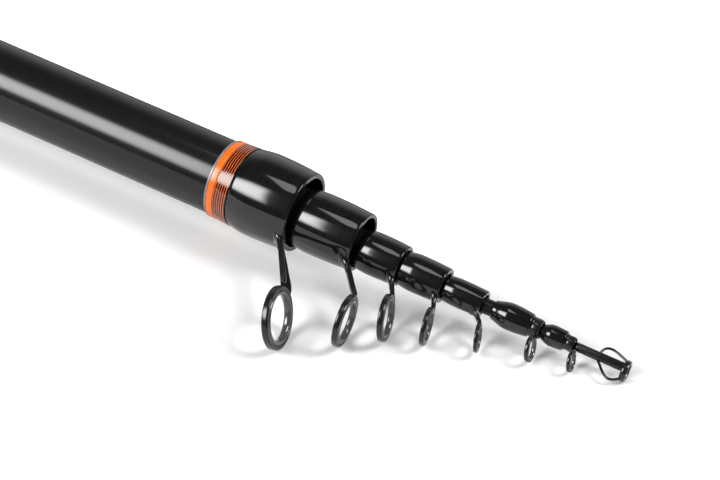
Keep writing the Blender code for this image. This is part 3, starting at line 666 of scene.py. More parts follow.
def makeBands():
    ahead = bands["ahead"]
    rows = (
        ("orange_band", orange, "orangeBand"), ("seam_ring", seam, "seamRing"),
        ("pinstripe_band", lacquer, "pinstripeBand"),
    )
    for node, material, name in rows:
        solid = readSolid(node)
        start = solid.start + ahead
        end = solid.end + ahead
        outer = solid.front[0]
        inner = tubes[0].outer(start) + bands["gap"]
        flare = bands["flare"] if name == "pinstripeBand" else 0.0
        edge = bands["edge"]
        corners = [(start, inner), (start, outer, edge), (end, outer + flare, edge), (end, inner)]
        fit(lathed(name, corners, material, 3), "butt", node)
    thread = bands["line"] / 2
    values = {
        "Count": bands["lines"], "Start": start + thread * 1.4, "Pitch": bands["pitch"],
        "Flare": bands["flare"] / outer * bands["pitch"] / (end - start),
        "Radius": outer - thread + bands["proud"], "Thread": thread, "Sides": rod["sides"], "Finish": orange,
    }
    fit(grown("pinstripeThread", threadRings, values), "butt")


makeBands()
print("bands wound")


def ringSpace(tube, reach, ahead, lean=0.0, twist=0.0):
    face = Matrix.Rotation(math.radians(lean), 4, "Y") @ Matrix.Rotation(math.radians(twist), 4, "Z")
    return tube.space() @ Matrix.Translation((tube.mouth + ahead, 0.0, reach)) @ face


def loft(name, rings, material):
    # closes a skin over cross-sections that hold the same number of points
    shape = bmesh.new()
    rows = [[shape.verts.new(point) for point in ring] for ring in rings]
    count = len(rings[0])
    for a, b in zip(rows, rows[1:]):
        for k in range(count):
            shape.faces.new((a[k], a[(k + 1) % count], b[(k + 1) % count], b[k]))
    shape.faces.new(rows[0])
    shape.faces.new(list(reversed(rows[-1])))
    return coated(newPiece(name, clean(meshOf(name, shape))), material)


def spline(points, steps):
    # a smooth run through points of any length, first two values the place
    rows = []
    last = len(points) - 1
    for k in range(last):
        p0, p1, p2, p3 = (points[max(0, min(last, k + d))] for d in (-1, 0, 1, 2))
        for step in range(steps):
            t = step / steps
            rows.append([
                (2 * b + (c - a) * t + (2 * a - 5 * b + 4 * c - d) * t * t + (3 * b - a - 3 * c + d) * t ** 3) / 2
                for a, b, c, d in zip(p0, p1, p2, p3)
            ])
    rows.append(list(points[-1]))
    return rows


def acrossPath(rows):
    # the unit normal, towards the tip, at each (x, z) of a path
    normals = []
    for k in range(len(rows)):
        a = rows[max(0, k - 1)]
        b = rows[min(len(rows) - 1, k + 1)]
        run = Vector((b[0] - a[0], b[1] - a[1])).normalized()
        normals.append(Vector((run.y, -run.x)))
    return normals


def channelLeg(tube, guide, stations):
    # a pressed channel, open towards the tip: (x, z, y, width, depth, slant) rows along its back
    wall = guide["metal"] * 0.8
    rows = spline(stations, 8)
    rings = []
    for row, normal in zip(rows, acrossPath(rows)):
        x, z, aside, width, depth, slant = row
        half = width / 2
        lip = max(depth, wall * 1.15)
        flat = [
            (-half, 0.0), (half, 0.0), (half, lip), (half - wall, lip),
            (half - wall, wall), (wall - half, wall), (wall - half, lip), (-half, lip),
        ]
        ring = []
        for y, n in flat:
            ahead = n + slant * (0.5 - y / width) * (n > wall * 1.05)
            ring.append((tube.mouth + x + normal.x * ahead, aside + y, z + normal.y * ahead))
        rings.append(ring)
    leg = softened(loft(f"guideLeg_{tube.number}", rings, guideMetal), rod["edge"], 2)
    leg.data.transform(tube.space())
    return leg


drops = {
    "clearance": 0.0004,  # keeps the lacquer off the next section as that slides
    "sides": 28, "wide": 0.54, "deep": 0.58, "square": 0.75, "overhang": 0.8, "back": 0.0003,
    "rows": [(-0.7, 3.2), (-0.25, 2.5), (0.05, 1.9), (0.35, 1.5), (0.75, 1.2), (1.2, 1.04), (1.6, 0.9)],
}


def squared(value):
    return math.copysign(abs(value) ** drops["square"], value)


def lacquerDrop(tube, guide, root, run):
    # lacquer that has crept from the sleeve onto the leg
    rings = []
    size = guide["leg"]
    normal = Vector((run.y, -run.x)).normalized()
    least = tube.bore(tube.mouth) + drops["clearance"]
    for step, spread in spline(drops["rows"], 4):
        centre = Vector((tube.mouth + root.x, root.y)) + run.xy * step * size + normal * guide["deep"] * 0.4
        aside = max(0.0, run.z * step * size)
        ring = []
        for k in range(drops["sides"]):
            angle = 2 * math.pi * k / drops["sides"]
            side = size * drops["wide"] * spread * squared(math.cos(angle)) + aside
            spot = centre + normal * guide["deep"] * drops["deep"] * spread * squared(math.sin(angle))
            out = max(spot.y, math.sqrt(max(least * least - side * side, 0.0)))
            front = tube.mouth + max(0.0, out - root.y - drops["back"]) * drops["overhang"]
            ring.append((min(spot.x, front), side, out))
        rings.append(ring)
    heart = Vector(rings[0][0]).lerp(Vector(rings[0][drops["sides"] // 2]), 0.5)
    heart.z = max(heart.z, least)
    rings.insert(0, [heart.lerp(Vector(spot), 0.1) for spot in rings[0]])  # a wide flat end would cut the bore
    drop = loft(f"lacquerDrop_{tube.number}", rings, lacquer)
    drop.data.transform(tube.space())
    fit(drop, tube.guideBody)


def hoopHalf(guide):
    return (hoops["depth"] + hoops["depthShare"] * guide["ring"]) / 2


def hoopPieces(tube, guide, reach):
    ring = guide["ring"]
    half = hoopHalf(guide)
    hole = ring * (1 - hoops["wall"])
    corners = [
        (-half, hole + 0.0001, 0.00012), (-half, ring - 0.0001, 0.00022), (-half * 0.5, ring, 0.0003),
        (half * 0.62, ring, 0.0002), (half, ring - 0.00022, 0.00012), (half, hole + 0.00012, 0.0001),
        (half - 0.00018, hole, 0.00005), (-half + 0.0001, hole, 0.00005),
    ]
    hoop = lathed(f"guideHoop_{tube.number}", corners, guideMetal, 4, rod["ringSides"])
    outer = hole - hoops["gap"]
    throat = hole - 0.00012 - ring * hoops["insertWall"]
    proud = half + hoops["proud"]
    wall = outer - throat
    rim = throat + wall * 0.35
    crest = outer - wall * 0.18
    corners = [
        (-proud, rim, wall * 0.3), (-proud, crest, wall * 0.2), (-half * 0.8, outer, 0.0001),
        (half * 0.8, outer, 0.0001), (proud, crest, wall * 0.2), (proud, rim, wall * 0.3),
        (half * 0.55, throat, wall * 0.5), (-half * 0.55, throat, wall * 0.5),
    ]
    insert = lathed(f"guideInsert_{tube.number}", corners, ceramic, 5, rod["ringSides"])
    for piece in (hoop, insert):
        piece.data.transform(ringSpace(tube, reach, guide["ahead"], guide["lean"], guide["twist"]))
    fit(insert, tube.guideBody, f"guide_{tube.number}_insert")
    return hoop


def joined(pieces, name):
    # several meshes as one piece
    shape = bmesh.new()
    materials = []
    for piece in pieces:
        before = len(shape.faces)
        shape.from_mesh(piece.data)
        shape.faces.ensure_lookup_table()
        material = piece.data.materials[0]
        if material not in materials:
            materials.append(material)
        for face in shape.faces[before:]:
            face.material_index = materials.index(material)
        bpy.data.objects.remove(piece)
    whole = newPiece(name, meshOf(name, shape))
    for material in materials:
        whole.data.materials.append(material)
    return whole


legShape = {
    "lift": 0.0003, "sink": 0.0004,  # the foot stands off the blank, and the leg starts inside the lacquer
    "foot": (0.85, 0.3),  # places on the foot, as shares of its length
    "toe": 0.7,  # the toe's width against the leg's
    "rows": [  # share of the leg's length, width, depth
        (0.04, 1.0, 0.8), (0.3, 1.0, 1.0), (0.62, 1.04, 1.0), (0.84, 1.22, 1.0), (0.93, 1.6, 0.95), (1.0, 2.1, 0.7),
    ],
}


def leggedGuide(tube):
    guide = guideOf(tube.number)
    hoop = hoopPieces(tube, guide, guide["reach"])
    lean, twist, aside = (math.radians(guide[key]) for key in ("lean", "twist", "aside"))
    metal, leg, foot = guide["metal"], guide["leg"], guide["foot"]
    level = tube.outer(tube.mouth - foot) + legShape["lift"] + metal / 2
    near = guide["ring"] * (1 - hoops["wall"] * 0.5)
    # where the leg's back meets the rear of the hoop, as (x, z, y) about the mouth
    forward = Vector((math.cos(lean) * math.cos(twist), -math.sin(lean) * math.cos(twist), math.sin(twist)))
    across = Vector((-math.cos(lean) * math.sin(twist), math.sin(lean) * math.sin(twist), math.cos(twist)))
    outward = Vector((math.sin(lean), math.cos(lean), 0.0))
    rim = across * near * math.sin(aside) - outward * near * math.cos(aside)
    top = Vector((guide["ahead"], guide["reach"], 0.0)) + rim - forward * hoopHalf(guide) * 0.75
    root = Vector((-hoops["root"] - legShape["sink"], readSolid(tube.wrap, tube.drop).front[0], 0.0))
    toe, middle = (root.x - foot * share for share in legShape["foot"])
    rows = [
        (toe, level, 0.0, leg * legShape["toe"], metal, 0.0), (middle, level, 0.0, leg, metal, 0.0),
        (root.x - metal, level, 0.0, leg, metal, 0.0),
    ]
    for share, width, depth in legShape["rows"]:
        spot = root + (top - root) * share
        rows.append((*spot, leg * width, guide["deep"] * depth, guide["slant"] * share))
    whole = joined([hoop, channelLeg(tube, guide, rows)], f"guideFrame_{tube.number}")
    fit(whole, tube.guideBody, f"guide_{tube.number}_frame")
    lacquerDrop(tube, guide, root, (top - root).normalized())


for tube in tubes[:5]:
    leggedGuide(tube)
print("legged guides bent")

collars = {
    "gap": 0.0002, "wall": 0.00025, "swell": 0.00012, "post": 0.26, "postSides": 24, "bead": 0.00042,
    "rows": [(0.0, 1.5, 1.35), (0.25, 1.15, 1.05), (0.5, 1.0, 0.9), (0.75, 1.15, 0.9), (1.0, 1.6, 0.95)],
}


def lowGuide(tube):
    guide = guideOf(tube.number)
    collar, ring = guide["collar"], guide["ring"]
    start = tube.mouth - collar
    end = tube.mouth
    inner = tube.outer(start) + collars["gap"]
    outer = inner + collars["wall"]
    reach = outer + guide["rise"] + ring
    hoop = hoopPieces(tube, guide, reach)
    swollen = outer + collars["swell"]
    corners = [
        (start, inner), (start, outer, 0.0001), (start + collar * 0.3, swollen, 0.0003),
        (end - collar * 0.3, swollen, 0.0003), (end, outer - 0.00004, 0.0001), (end, inner),
    ]
    band = lathed(f"guideCollar_{tube.number}", corners, guideMetal, 4, rod["fineSides"], tube.drop)
    lean = math.radians(guide["lean"])
    foot = Vector((start + collar * 0.62, (inner + outer) / 2))
    top = Vector((end + guide["ahead"], reach)) - Vector((math.sin(lean), math.cos(lean))) * ring * 0.93
    rings = []
    for share, wide, deep in collars["rows"]:
        x, z = foot + (top - foot) * share
        turns = [2 * math.pi * k / collars["postSides"] for k in range(collars["postSides"])]
        rings.append([
            (x + hoopHalf(guide) * deep * math.sin(turn), ring * collars["post"] * wide * math.cos(turn), z)
            for turn in turns
        ])
    post = loft(f"guidePost_{tube.number}", rings, guideMetal)
    post.data.transform(tube.space())
    whole = joined([hoop, band, post], f"guideFrame_{tube.number}")
    fit(whole, tube.guideBody, f"guide_{tube.number}_frame")
    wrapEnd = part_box(tube.wrap)[1].x
    bead = collars["bead"]
    corners = [
        (wrapEnd - bead, inner - 0.0001), (wrapEnd - bead, outer + bead * 0.7, bead * 0.5),
        (wrapEnd + bead * 1.6, outer + bead * 0.4, bead), (wrapEnd + bead * 2.0, inner),
    ]
    fit(lathed(f"lacquerBead_{tube.number}", corners, lacquer, 5, rod["fineSides"], tube.drop), tube.guideBody)


for tube in tubes[5:7]:
    lowGuide(tube)
print("low guides set")

tip = {
    "ring": 0.0030, "hole": 0.0019, "depth": 0.0016, "tube": 0.0122, "wall": 0.00024, "bond": 0.00012,
    "arm": 0.0076, "wire": 0.00036, "bulge": 0.0025, "offset": 0.0009, "ahead": 0.0008,
    "nose": 0.7,  # share of the way to the hoop that the sheath's closed end fills
    "arms": ((1, 0.8), (-1, 2.0)),  # each arm's side, and how early it opens
    "armSteps": 40,
}


def makeWireRule():
    # a round wire along a path of joined points
    graph, given = newTree("wireAlong", ["Sides"], ["Thickness"])
    path = graph.add("GeometryNodeMeshToCurve", {"Mesh": given["Geometry"]})
    return closeTree(graph, graph.swept(path, graph.circle(given["Sides"], given["Thickness"])), given)


wireAlong = makeWireRule()


def tipRing(tube, ahead):
    ring, hole = tip["ring"], tip["hole"]
    inner = ring * (1 - hoops["wall"])
    half = tip["depth"] / 2
    corners = [
        (-half, inner, 0.0001), (-half, ring - 0.00018, 0.0002), (-half * 0.4, ring, 0.0003),
        (half * 0.5, ring, 0.0003), (half, ring - 0.0002, 0.00018), (half, inner, 0.0001),
    ]
    hoop = lathed("tipHoop", corners, guideMetal, 4, rod["fineSides"])
    wall = inner - hole
    rim = hole + wall * 0.4
    outer = inner - hoops["gap"]
    proud = half + 0.00003
    corners = [
        (-proud, rim, wall * 0.4), (-proud, inner - 0.0001, 0.00012), (-half * 0.7, outer), (half * 0.7, outer),
        (proud, inner - 0.0001, 0.00012), (proud, rim, wall * 0.4),
        (half * 0.4, hole, wall * 0.5), (-half * 0.4, hole, wall * 0.5),
    ]
    insert = lathed("tipInsert", corners, ceramic, 5, rod["fineSides"])
    for piece in (hoop, insert):
        piece.data.transform(ringSpace(tube, tip["offset"], ahead))
    fit(insert, "tip_guide", "tip_guide_insert")
    return hoop


def tipArms(tube, ahead, outer):
    front = tube.mouth + ahead - tip["depth"] / 4
    wire, steps = tip["wire"], tip["armSteps"]
    root = outer - wire / 2
    values = {"Thickness": wire, "Sides": 14, "Finish": guideMetal}
    edges = [(k, k + 1) for k in range(steps)]
    arms = []
    for side, skew in tip["arms"]:
        grip = tip["offset"] * side + tip["ring"] * (1 - hoops["wall"]) + wire
        path = []
        for k in range(steps + 1):
            share = (k / steps) ** skew
            bow = tip["bulge"] * math.sin(math.pi * k / steps)
            path.append((front - tip["arm"] * (1 - share), 0.0, side * (root + (grip - root) * share + bow)))
        arm = grown(f"tipArm_{side + 1}", wireAlong, values, path, edges)
        arm.data.transform(tube.space())
        arms.append(arm)
    return arms


def makeTipGuide():
    tube = tubes[7]
    start = tube.mouth - tip["tube"]
    stop = tube.mouth + 0.0003
    inner = tube.outer(start) + tip["bond"]
    outer = inner + tip["wall"]
    ahead = stop + tip["wall"] + tip["ahead"] + tip["depth"] / 2 - tube.mouth
    end = stop + tip["wall"] + tip["ahead"] * tip["nose"]
    hoop = tipRing(tube, ahead)
    corners = [(start, inner), (start, outer, 0.0001), (end, outer, 0.00018), (end, 0.0), (stop, 0.0), (stop, inner)]
    sheath = lathed("tipTube", corners, guideMetal, 4, rod["fineSides"], tube.drop)
    fit(joined([hoop, sheath, *tipArms(tube, ahead, outer)], "tipGuideFrame"), "tip_guide", "tip_guide_frame")
    corners = [
        (start - 0.0007, inner - 0.0001), (start - 0.0004, inner + 0.00005, 0.0001),
        (start + 0.0002, outer + 0.00004, 0.0002), (start + 0.0005, outer - 0.00005),
    ]
    fit(lathed("tipBead", corners, lacquer, 4, rod["fineSides"], tube.drop), "tip_guide")


makeTipGuide()
print("tip guide made")


def makeRidges():
    # rounded bars set round the rod's axis, for knurls
    graph, given = newTree("ridges", ["Count"], ["Start", "Length", "Radius", "Bar"])
    circle = graph.circle(given["Count"], given["Radius"])
    spots = graph.add("GeometryNodeCurveToPoints", {"Curve": circle}, {"mode": "EVALUATED"})
    ends = {"Start": graph.point(0.0), "End": graph.point(0.0, 0.0, given["Length"])}
    line = graph.add("GeometryNodeCurvePrimitiveLine", ends, {"mode": "POINTS"})
    bar = graph.swept(line, graph.circle(8, given["Bar"]))
    many = graph.add("GeometryNodeInstanceOnPoints", {"Points": spots, "Instance": bar})
    return closeTree(graph, graph.laid(many, given["Start"]), given)


def makeThreadRule():
    # a screw thread's rib round the rod's axis
    graph, given = newTree("screwThread", [], ["Start", "Length", "Turns", "Radius", "Rib"])
    coil = graph.add("GeometryNodeCurveSpiral", {
        "Resolution": 48, "Rotations": given["Turns"], "Height": given["Length"],
        "Start Radius": given["Radius"], "End Radius": given["Radius"],
    })
    rib = graph.swept(coil, graph.circle(6, given["Rib"]))
    return closeTree(graph, graph.laid(rib, given["Start"]), given)


ridges = makeRidges()
screwThread = makeThreadRule()


def knurled(name, count, start, length, radius, bar):
    values = {"Count": count, "Start": start, "Length": length, "Radius": radius, "Bar": bar, "Finish": gunmetal}
    return grown(name, ridges, values)


def threaded(name, start, length, pitch, radius, rib, material):
    values = {"Start": start, "Length": length, "Turns": length / pitch, "Radius": radius, "Rib": rib}
    return grown(name, screwThread, {**values, "Finish": material})


grips = {"end": 0.0012, "shoulder": 0.004, "waist": 0.0004, "taper": 0.016, "foreTaper": 0.55}


def makeGrips():
    start, end, rear, front, crown = readSolid("rear_grip")
    corners = [
        (start, rear[1]), (start, rear[0], grips["end"]), (start + grips["shoulder"], crown, 0.004),
        (start + (end - start) * 0.5, crown - grips["waist"], 0.03), (end - grips["taper"], crown, 0.01),
        (end, front[0], grips["end"]), (end, front[1]),
    ]
    grip = lathed("rearGrip", corners, gripFoam, 8)
    fit(grip, "butt", "rear_grip")
    start, end, rear, front, crown = readSolid("fore_grip")
    corners = [
        (start, rear[1]), (start, rear[0], grips["end"]), (start + grips["shoulder"], crown, 0.003),
        (start + (end - start) * grips["foreTaper"], crown, 0.012), (end, front[0], 0.0006), (end, front[1]),
    ]
    grip = lathed("foreGrip", corners, gripFoam, 8)
    fit(grip, "butt", "fore_grip")


trims = {"groove": 0.0003, "edge": 0.00008}


def makeTrims():
    groove, edge = trims["groove"], trims["edge"]
    rows = (("rear_trim_ring", "rearTrim"), ("fore_trim_ring", "foreTrim"), ("winding_check", "windingCheck"))
    for node, name in rows:
        solid = readSolid(node)
        start, end, inner, crown = solid.start, solid.end, solid.rear[1], solid.crown
        middle = (start + end) / 2
        corners = [
            (start, inner), (start, crown - 0.0003, 0.0002), (start + 0.0004, crown, 0.0003),
            (middle - groove, crown, edge), (middle - groove * 0.6, crown - groove, edge),
            (middle + groove * 0.6, crown - groove, edge), (middle + groove, crown, edge),
            (end - 0.0004, crown, 0.0003), (end, crown - 0.0003, 0.0002), (end, inner),
        ]
        fit(lathed(name, corners, gunmetal), "butt", node)


makeGrips()
makeTrims()


def block(name, lowPoint, highPoint, rounding=0.0, segments=3):
    # a box in the guides' space, where z points to the reel's foot
    shape = bmesh.new()
    bmesh.ops.create_cube(shape, size=1.0)
    size = [b - a for a, b in zip(lowPoint, highPoint)]
    middle = Vector([(a + b) / 2 for a, b in zip(lowPoint, highPoint)])
    bmesh.ops.scale(shape, vec=size, verts=shape.verts)
    bmesh.ops.translate(shape, vec=middle, verts=shape.verts)
    piece = newPiece(name, meshOf(name, shape))
    if rounding:
        softened(piece, rounding, segments)
    piece.data.transform(tubes[0].space())
    return piece


def carve(piece, tool, operation="DIFFERENCE"):
    step = piece.modifiers.new("Carve", "BOOLEAN")
    step.operation = operation
    step.solver = "EXACT"
    step.object = tool
    settled(piece)
    bpy.data.objects.remove(tool)


seat = {
    "bed": 0.0010, "key": 0.0024, "keyDeep": 0.0007, "keyGap": 0.0002, "setback": 0.0010,
    "hoodWall": 0.0008, "room": 0.0056, "pocket": 0.0156, "pocketWall": 0.0012,
    "threadPitch": 0.0012, "threadRear": 0.012, "rib": 0.00016, "gap": 0.0003,
    "past": 0.002,  # how far a cutting block reaches past what it cuts
}


def makeSeat():
    solid = readSolid("reel_seat_barrel")
    start, end, inner, outer = solid.start, solid.end, solid.rear[1], solid.crown
    past, setback = seat["past"], seat["setback"]
    bed = outer - seat["bed"]
    half = seat["key"] / 2
    barrel = lathed("seatBarrel", ringWall(start, end, inner, outer, 0.0004, 0.0005), seatPlastic)
    carve(barrel, block("bedTool", (start + setback, -outer, bed), (end + past, outer, outer + past)))
    slot = (start + setback, -half, -outer - past), (end + past, half, -outer + seat["keyDeep"])
    carve(barrel, block("keyTool", *slot))
    fit(coated(barrel, seatPlastic), "butt", "reel_seat_barrel")
    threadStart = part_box("sliding_hood")[0].x - seat["threadRear"]
    length = end - 0.0008 - threadStart
    rib = threaded("seatThread", threadStart, length, seat["threadPitch"], outer - 0.00004, seat["rib"], seatPlastic)
    carve(rib, block("threadTool", (start, -outer, bed - 0.0002), (end + past, outer, outer + past)))
    half += 0.0004
    carve(rib, block("threadKeyTool", (start, -half, -outer - past), (end + past, half, -outer + past)))
    fit(coated(rib, seatPlastic), "butt")
    hood("fixedHood", "fixed_hood", "butt", outer, bed, True)
    hood("slidingHood", "sliding_hood", "seat_hood", outer, bed, False)
    lockNut(outer)


def hood(name, node, body, barrelOuter, bed, opensForwards):
    low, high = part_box(node)
    start, end, past = low.x, high.x, seat["past"]
    inner = barrelOuter + seat["gap"]
    outer = inner + seat["hoodWall"]
    half = seat["pocket"] / 2
    side = seat["pocketWall"]
    roof = bed + seat["room"]
    shell = lathed(name, ringWall(start, end, 0.0, outer, 0.0003, 0.0003), gunmetal, hollow=False)
    crown = (start + 0.0002, -half - side, bed / 3), (end - 0.0002, half + side, roof + side)
    carve(shell, block(name + "Crown", *crown, side * 0.75, 4), "UNION")
    back = start + side if opensForwards else start - past
    front = end + past if opensForwards else end - side
    carve(shell, block(name + "Pocket", (back, -half, bed / 2), (front, half, roof), side * 0.4))
    carve(shell, lathed(name + "Bore", ringWall(start - past, end + past, 0.0, inner), gunmetal, hollow=False))
    half = seat["key"] / 2 - seat["keyGap"]
    keyTop = -barrelOuter + seat["keyDeep"] - seat["keyGap"]
    key = (start + 0.0004, -half, -inner - 0.0004), (end - 0.0004, half, keyTop)
    carve(shell, block(name + "Key", *key), "UNION")
    fit(coated(shell, gunmetal), body, node)


knurls = {"nut": 44, "cap": 56, "bar": 0.00042}


def lockNut(barrelOuter):
    solid = readSolid("lock_nut")
    start, end, outer = solid.start, solid.end, solid.rear[0]
    inner = barrelOuter + seat["gap"]
    body = outer - knurls["bar"] * 0.9
    corners = [
        (start, inner, 0.0002), (start, outer - 0.0002, 0.0002), (start + 0.0014, outer - 0.0001, 0.0002),
        (start + 0.0018, body, 0.0002), (end - 0.0018, body, 0.0002), (end - 0.0014, outer - 0.0001, 0.0002),
        (end, outer - 0.0004, 0.0003), (end, inner, 0.0002),
    ]
    nut = lathed("nutBody", corners, gunmetal)
    knurl = knurled("nutKnurl", knurls["nut"], start + 0.0016, end - start - 0.0032, body, knurls["bar"])
    fit(joined([nut, knurl], "lockNut"), "seat_nut", "lock_nut")


makeSeat()
print("reel seat made")

buttEnd = {
    "knob": 0.0152, "button": 0.0098, "gap": 0.0003, "threadPitch": 0.0015, "rib": 0.00013,
    "grooves": (0.0028, 0.0050, 0.0072),  # radii of the button's rings
}


def makeCap(threadRing, pad):
    low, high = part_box("butt_cap")
    gap, bar = buttEnd["gap"], knurls["bar"]
    face, tail = low.x, high.x
    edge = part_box("butt_seal")[0].x - gap
    knob = buttEnd["knob"]
    rim = knob - 0.0001
    waist = knob - bar
    socket = buttEnd["button"] + gap
    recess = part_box("butt_button")[1].x + gap
    spigot = threadRing.rear[1] - 0.0002
    hollow = pad.rear[0] + gap
    floor = pad.start - gap
    corners = [
        (recess, 0.0), (recess, socket), (face, socket, 0.0003), (face, knob - 0.0012, 0.0006),
        (face + 0.0012, rim, 0.0004), (face + 0.0019, rim, 0.0002), (face + 0.0022, waist, 0.0002),
        (edge - 0.0020, waist, 0.0002), (edge - 0.0017, rim, 0.0002), (edge, rim, 0.0004),
        (edge, spigot, 0.0001), (tail, spigot, 0.0003), (tail, hollow, 0.0002), (floor, hollow), (floor, 0.0),
    ]
    cap = lathed("capBody", corners, gunmetal, hollow=False)
    knurl = knurled("capKnurl", knurls["cap"], face + 0.0020, edge - face - 0.0038, waist, bar * 0.95)
    pitch, rib = buttEnd["threadPitch"], buttEnd["rib"]
    thread = threaded("capThread", edge + 0.0018, tail - edge - 0.0026, pitch, spigot - 0.00005, rib, gunmetal)
    fit(joined([cap, knurl, thread], "buttCap"), "cap", "butt_cap")


def makeButton():
    low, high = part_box("butt_button")
    start, end, edge = low.x, high.x, buttEnd["button"]
    points = [(start, 0.0)]
    for radius in buttEnd["grooves"]:
        points += [
            (start, radius - 0.0003), (start + 0.0003, radius - 0.0001),
            (start + 0.0003, radius + 0.0001), (start, radius + 0.0003),
        ]
    points += [(start, edge - 0.0008), (start + 0.0002, edge - 0.0003), (start + 0.0007, edge), (end, edge), (end, 0.0)]
    fit(lathed("rubberButton", points, rubber, hollow=False), "cap", "butt_button")


def makeButtEnd():
    ring = readSolid("butt_thread_ring")
    pad = readSolid("butt_pad")
    makeCap(ring, pad)
    makeButton()
    corners = ringWall(pad.start, pad.end, 0.0, pad.rear[0], 0.0003, 0.0008)
    shock = lathed("shockPad", corners, padFoam, 5, hollow=False)
    fit(shock, "cap", "butt_pad")
    seal = readSolid("butt_seal")
    outer, inner = seal.rear
    corners = [
        (seal.start, inner, 0.0003), (seal.start, outer, 0.0004), (seal.end, outer, 0.0004), (seal.end, inner, 0.0003),
    ]
    fit(lathed("capSeal", corners, rubber, 5), "cap_travel", "butt_seal")
    corners = [
        (ring.start, ring.rear[1]), (ring.start, ring.crown - 0.0002, 0.0002),
        (ring.start + 0.0006, ring.crown, 0.0003), (ring.end - 0.004, ring.crown, 0.001),
        (ring.end - 0.0002, ring.crown - 0.0006, 0.0004), (ring.end, ring.front[1]),
    ]
    fit(lathed("threadRing", corners, gunmetal, 5), "butt", "butt_thread_ring")


makeButtEnd()
print("butt end made")

studio = {
    "lens": 76.25, "camera": (0.7498, -0.3113, 0.2548), "azimuth": 23.0, "elevation": 37.1, "roll": 9.2,
    "floorLevel": -0.0178, "floorRise": 6.6, "floorBend": 0.614, "floorEase": 8e-7, "floorHalf": 2.6,
    "flat": (-2.2, 7.3), "sweep": (0.5, 2.8), "wall": 0.55, "dusk": 0.08,
}
paper = {
    "tone": 0.78, "paintedShadeShare": 0.3,  # the tone's share behind the rod, a painted shade there that only the rod's reflections see
    "lift": 0.12, "paintedShadeNearTip": 0.06, "paintedLightPastTip": 0.5, "under": 0.20,  # glow for the camera only: an even lift, painted shade near the tip, painted light past the tip and under the blank
    "sides": 6.0, "ends": 3.0, "middle": 0.35,  # glow that grows away from the closed rod's middle
}


def makeCamera():
    data = bpy.data.cameras.new("camera")
    data.lens = studio["lens"]
    data.sensor_width = 36.0
    data.clip_start = 0.01
    camera = bpy.data.objects.new("camera", data)
    scene.collection.objects.link(camera)
    azimuth, elevation, roll = (math.radians(studio[key]) for key in ("azimuth", "elevation", "roll"))
    right = Vector((math.cos(azimuth), math.sin(azimuth), 0.0))
    level = Vector((math.sin(azimuth), -math.cos(azimuth), 0.0))
    back = level * math.cos(elevation) + Vector((0.0, 0.0, math.sin(elevation)))
    up = back.cross(right)
    across = right * math.cos(roll) + up * math.sin(roll)
    upright = up * math.cos(roll) - right * math.sin(roll)
    turn = Matrix((across, upright, back)).transposed()
    camera.matrix_world = Matrix.Translation(studio["camera"]) @ turn.to_4x4()
    scene.camera = camera


makeCamera()


def makePaper():
    material = bpy.data.materials.new("whitePaper")
    material.use_nodes = True
    graph = Graph(material.node_tree)
    nodes = material.node_tree.nodes
    nodes.remove(nodes["Principled BSDF"])
    along, across = graph.parts(graph.here())[:2]
    # an even lift, plus painted light that whitens the shadows behind and beyond the rod, less glow near the tip as
    # painted shade under the front sections, and a painted pale gap of light right under the blank
    lift = paper["lift"] - paper["paintedShadeNearTip"] * along.ease(0.585, 0.650)
    lift = lift + across.ease(0.012, 0.04) + paper["paintedLightPastTip"] * along.ease(0.698, 0.712)
    under = paper["under"] * across.ease(-0.006, 0.003) * (1.0 - along.ease(0.600, 0.660))
    # in the room's own axes, so it stays where it is when the sweep moves out with the tip
    east, north = graph.parts(graph.add("ShaderNodeNewGeometry", output="Position"))[:2]
    beyond = north ** 2.0 * paper["sides"] + (east - paper["middle"]) ** 4.0 * paper["ends"]
    strength = graph.cameraRay() * (lift + under + beyond).held()
    glow = graph.add("ShaderNodeEmission", {"Color": white, "Strength": strength}, output="Emission")
    # the paper is painted darker behind the rod, a painted shade that the rod reflects while the camera sees the glow
    # there
    near, paintedShadeTone = ((*[tone] * 3, 1.0) for tone in (paper["tone"], paper["tone"] * paper["paintedShadeShare"]))
    tone = graph.blend(across.ease(0.03, 0.10), near, paintedShadeTone)
    matt = graph.add("ShaderNodeBsdfDiffuse", {"Color": tone, "Roughness": 0.0}, output="BSDF")
    both = graph.add("ShaderNodeAddShader", [matt, glow], output="Shader")
    graph.into(nodes["Material Output"].inputs["Surface"], both)
    return material


def sheet(name, rows, material):
    half = studio["floorHalf"]
    vertices = [(x, y, z) for x, z in rows for y in (-half, half)]
    faces = [(2 * k, 2 * k + 2, 2 * k + 3, 2 * k + 1) for k in range(len(rows) - 1)]
    mesh = bpy.data.meshes.new(name)
    mesh.from_pydata(vertices, [], faces)
    for polygon in mesh.polygons:
        polygon.use_smooth = True
    return coated(newPiece(name, mesh), material)


def makeFloor():
    # paper that lies flat under the rod, and a sweep that rises under the tip and stays with it
    material = makePaper()
    level = studio["floorLevel"]
    rise = math.tan(math.radians(studio["floorRise"]))
    first, last = studio["flat"]
    flat = sheet("paperFloor", [(first + (last - first) * k / 19, level) for k in range(20)], material)
    first, last = studio["sweep"]
    rows = []
    for k in range(161):
        x = first + (last - first) * (k / 160) ** 1.6
        lift = (x - studio["floorBend"]) * rise
        rows.append((x, level + (lift + math.sqrt(lift * lift + studio["floorEase"])) / 2))
    sweep = sheet("paperSweep", rows, material)
    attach(sweep, "section_8")


makeFloor()

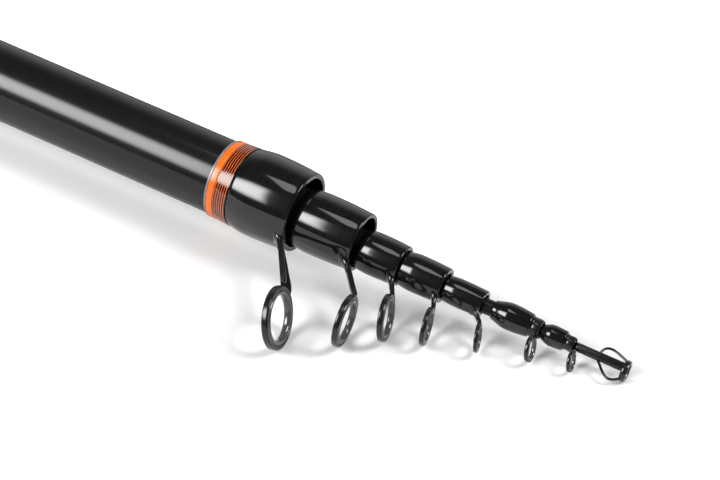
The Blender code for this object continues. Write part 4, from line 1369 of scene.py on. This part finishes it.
aim = Vector((0.62, 0.0, 0.0))
lamps = {
    "frontSoftbox": {  # it runs along the rod, so its end shows as a clean edge on every tube
        "away": Vector((-0.925, -1.095, 0.872)), "faces": Vector((0.0, 1.095, -0.872)),
        "size": (1.05, 1.15), "power": 59.0, "soft": True,
    },
    "backSoftbox": {"away": Vector((0.54, 0.20, 0.81)).normalized() * 1.5, "size": (0.56, 0.56), "power": 17.0},
    "topSoftbox": {"away": Vector((-0.21, -0.10, 0.97)).normalized() * 1.5, "size": (0.50, 0.28), "power": 1.4},
}


def makeLamp(name, settings):
    data = bpy.data.lights.new(name, "AREA")
    data.shape = "RECTANGLE"
    data.size, data.size_y = settings["size"]
    data.energy = settings["power"]
    if settings.get("soft"):  # bright in the middle and fading upwards and downwards, as cloth over a lamp does
        data.use_nodes = True
        graph = Graph(data.node_tree)
        along, up = graph.parts(graph.add("ShaderNodeNewGeometry", output="Parametric"))[:2]
        spread = (up * 2.0 - 1.0) ** 2.0
        strength = (1.0 - spread.ease(0.0, 1.0)) * (1.0 - along.ease(0.88, 1.0))
        graph.into(data.node_tree.nodes["Emission"].inputs["Strength"], strength)
    lamp = bpy.data.objects.new(name, data)
    scene.collection.objects.link(lamp)
    lamp.location = aim + settings["away"]
    lamp.rotation_mode = "QUATERNION"
    lamp.rotation_quaternion = settings.get("faces", -settings["away"]).to_track_quat("-Z", "Y")


for name, settings in lamps.items():
    makeLamp(name, settings)


def makeWorld():
    # white for the camera, and a dim studio with a paler back wall for what the rod reflects
    world = bpy.data.worlds.new("studioWorld")
    scene.world = world
    world.use_nodes = True
    graph = Graph(world.node_tree)
    background = world.node_tree.nodes["Background"]
    depth, height = graph.parts(graph.add("ShaderNodeTexCoord", output="Generated"))[1:]
    wall = depth.ease(0.1, 0.9) * (1.0 - height.ease(0.45, 0.85))
    level = wall * studio["wall"] + studio["dusk"]
    graph.into(background.inputs["Strength"], graph.cameraRay() * (1.0 - level) + level)
    background.inputs["Color"].default_value = white


makeWorld()
scene.view_settings.view_transform = "Standard"
print("studio set")
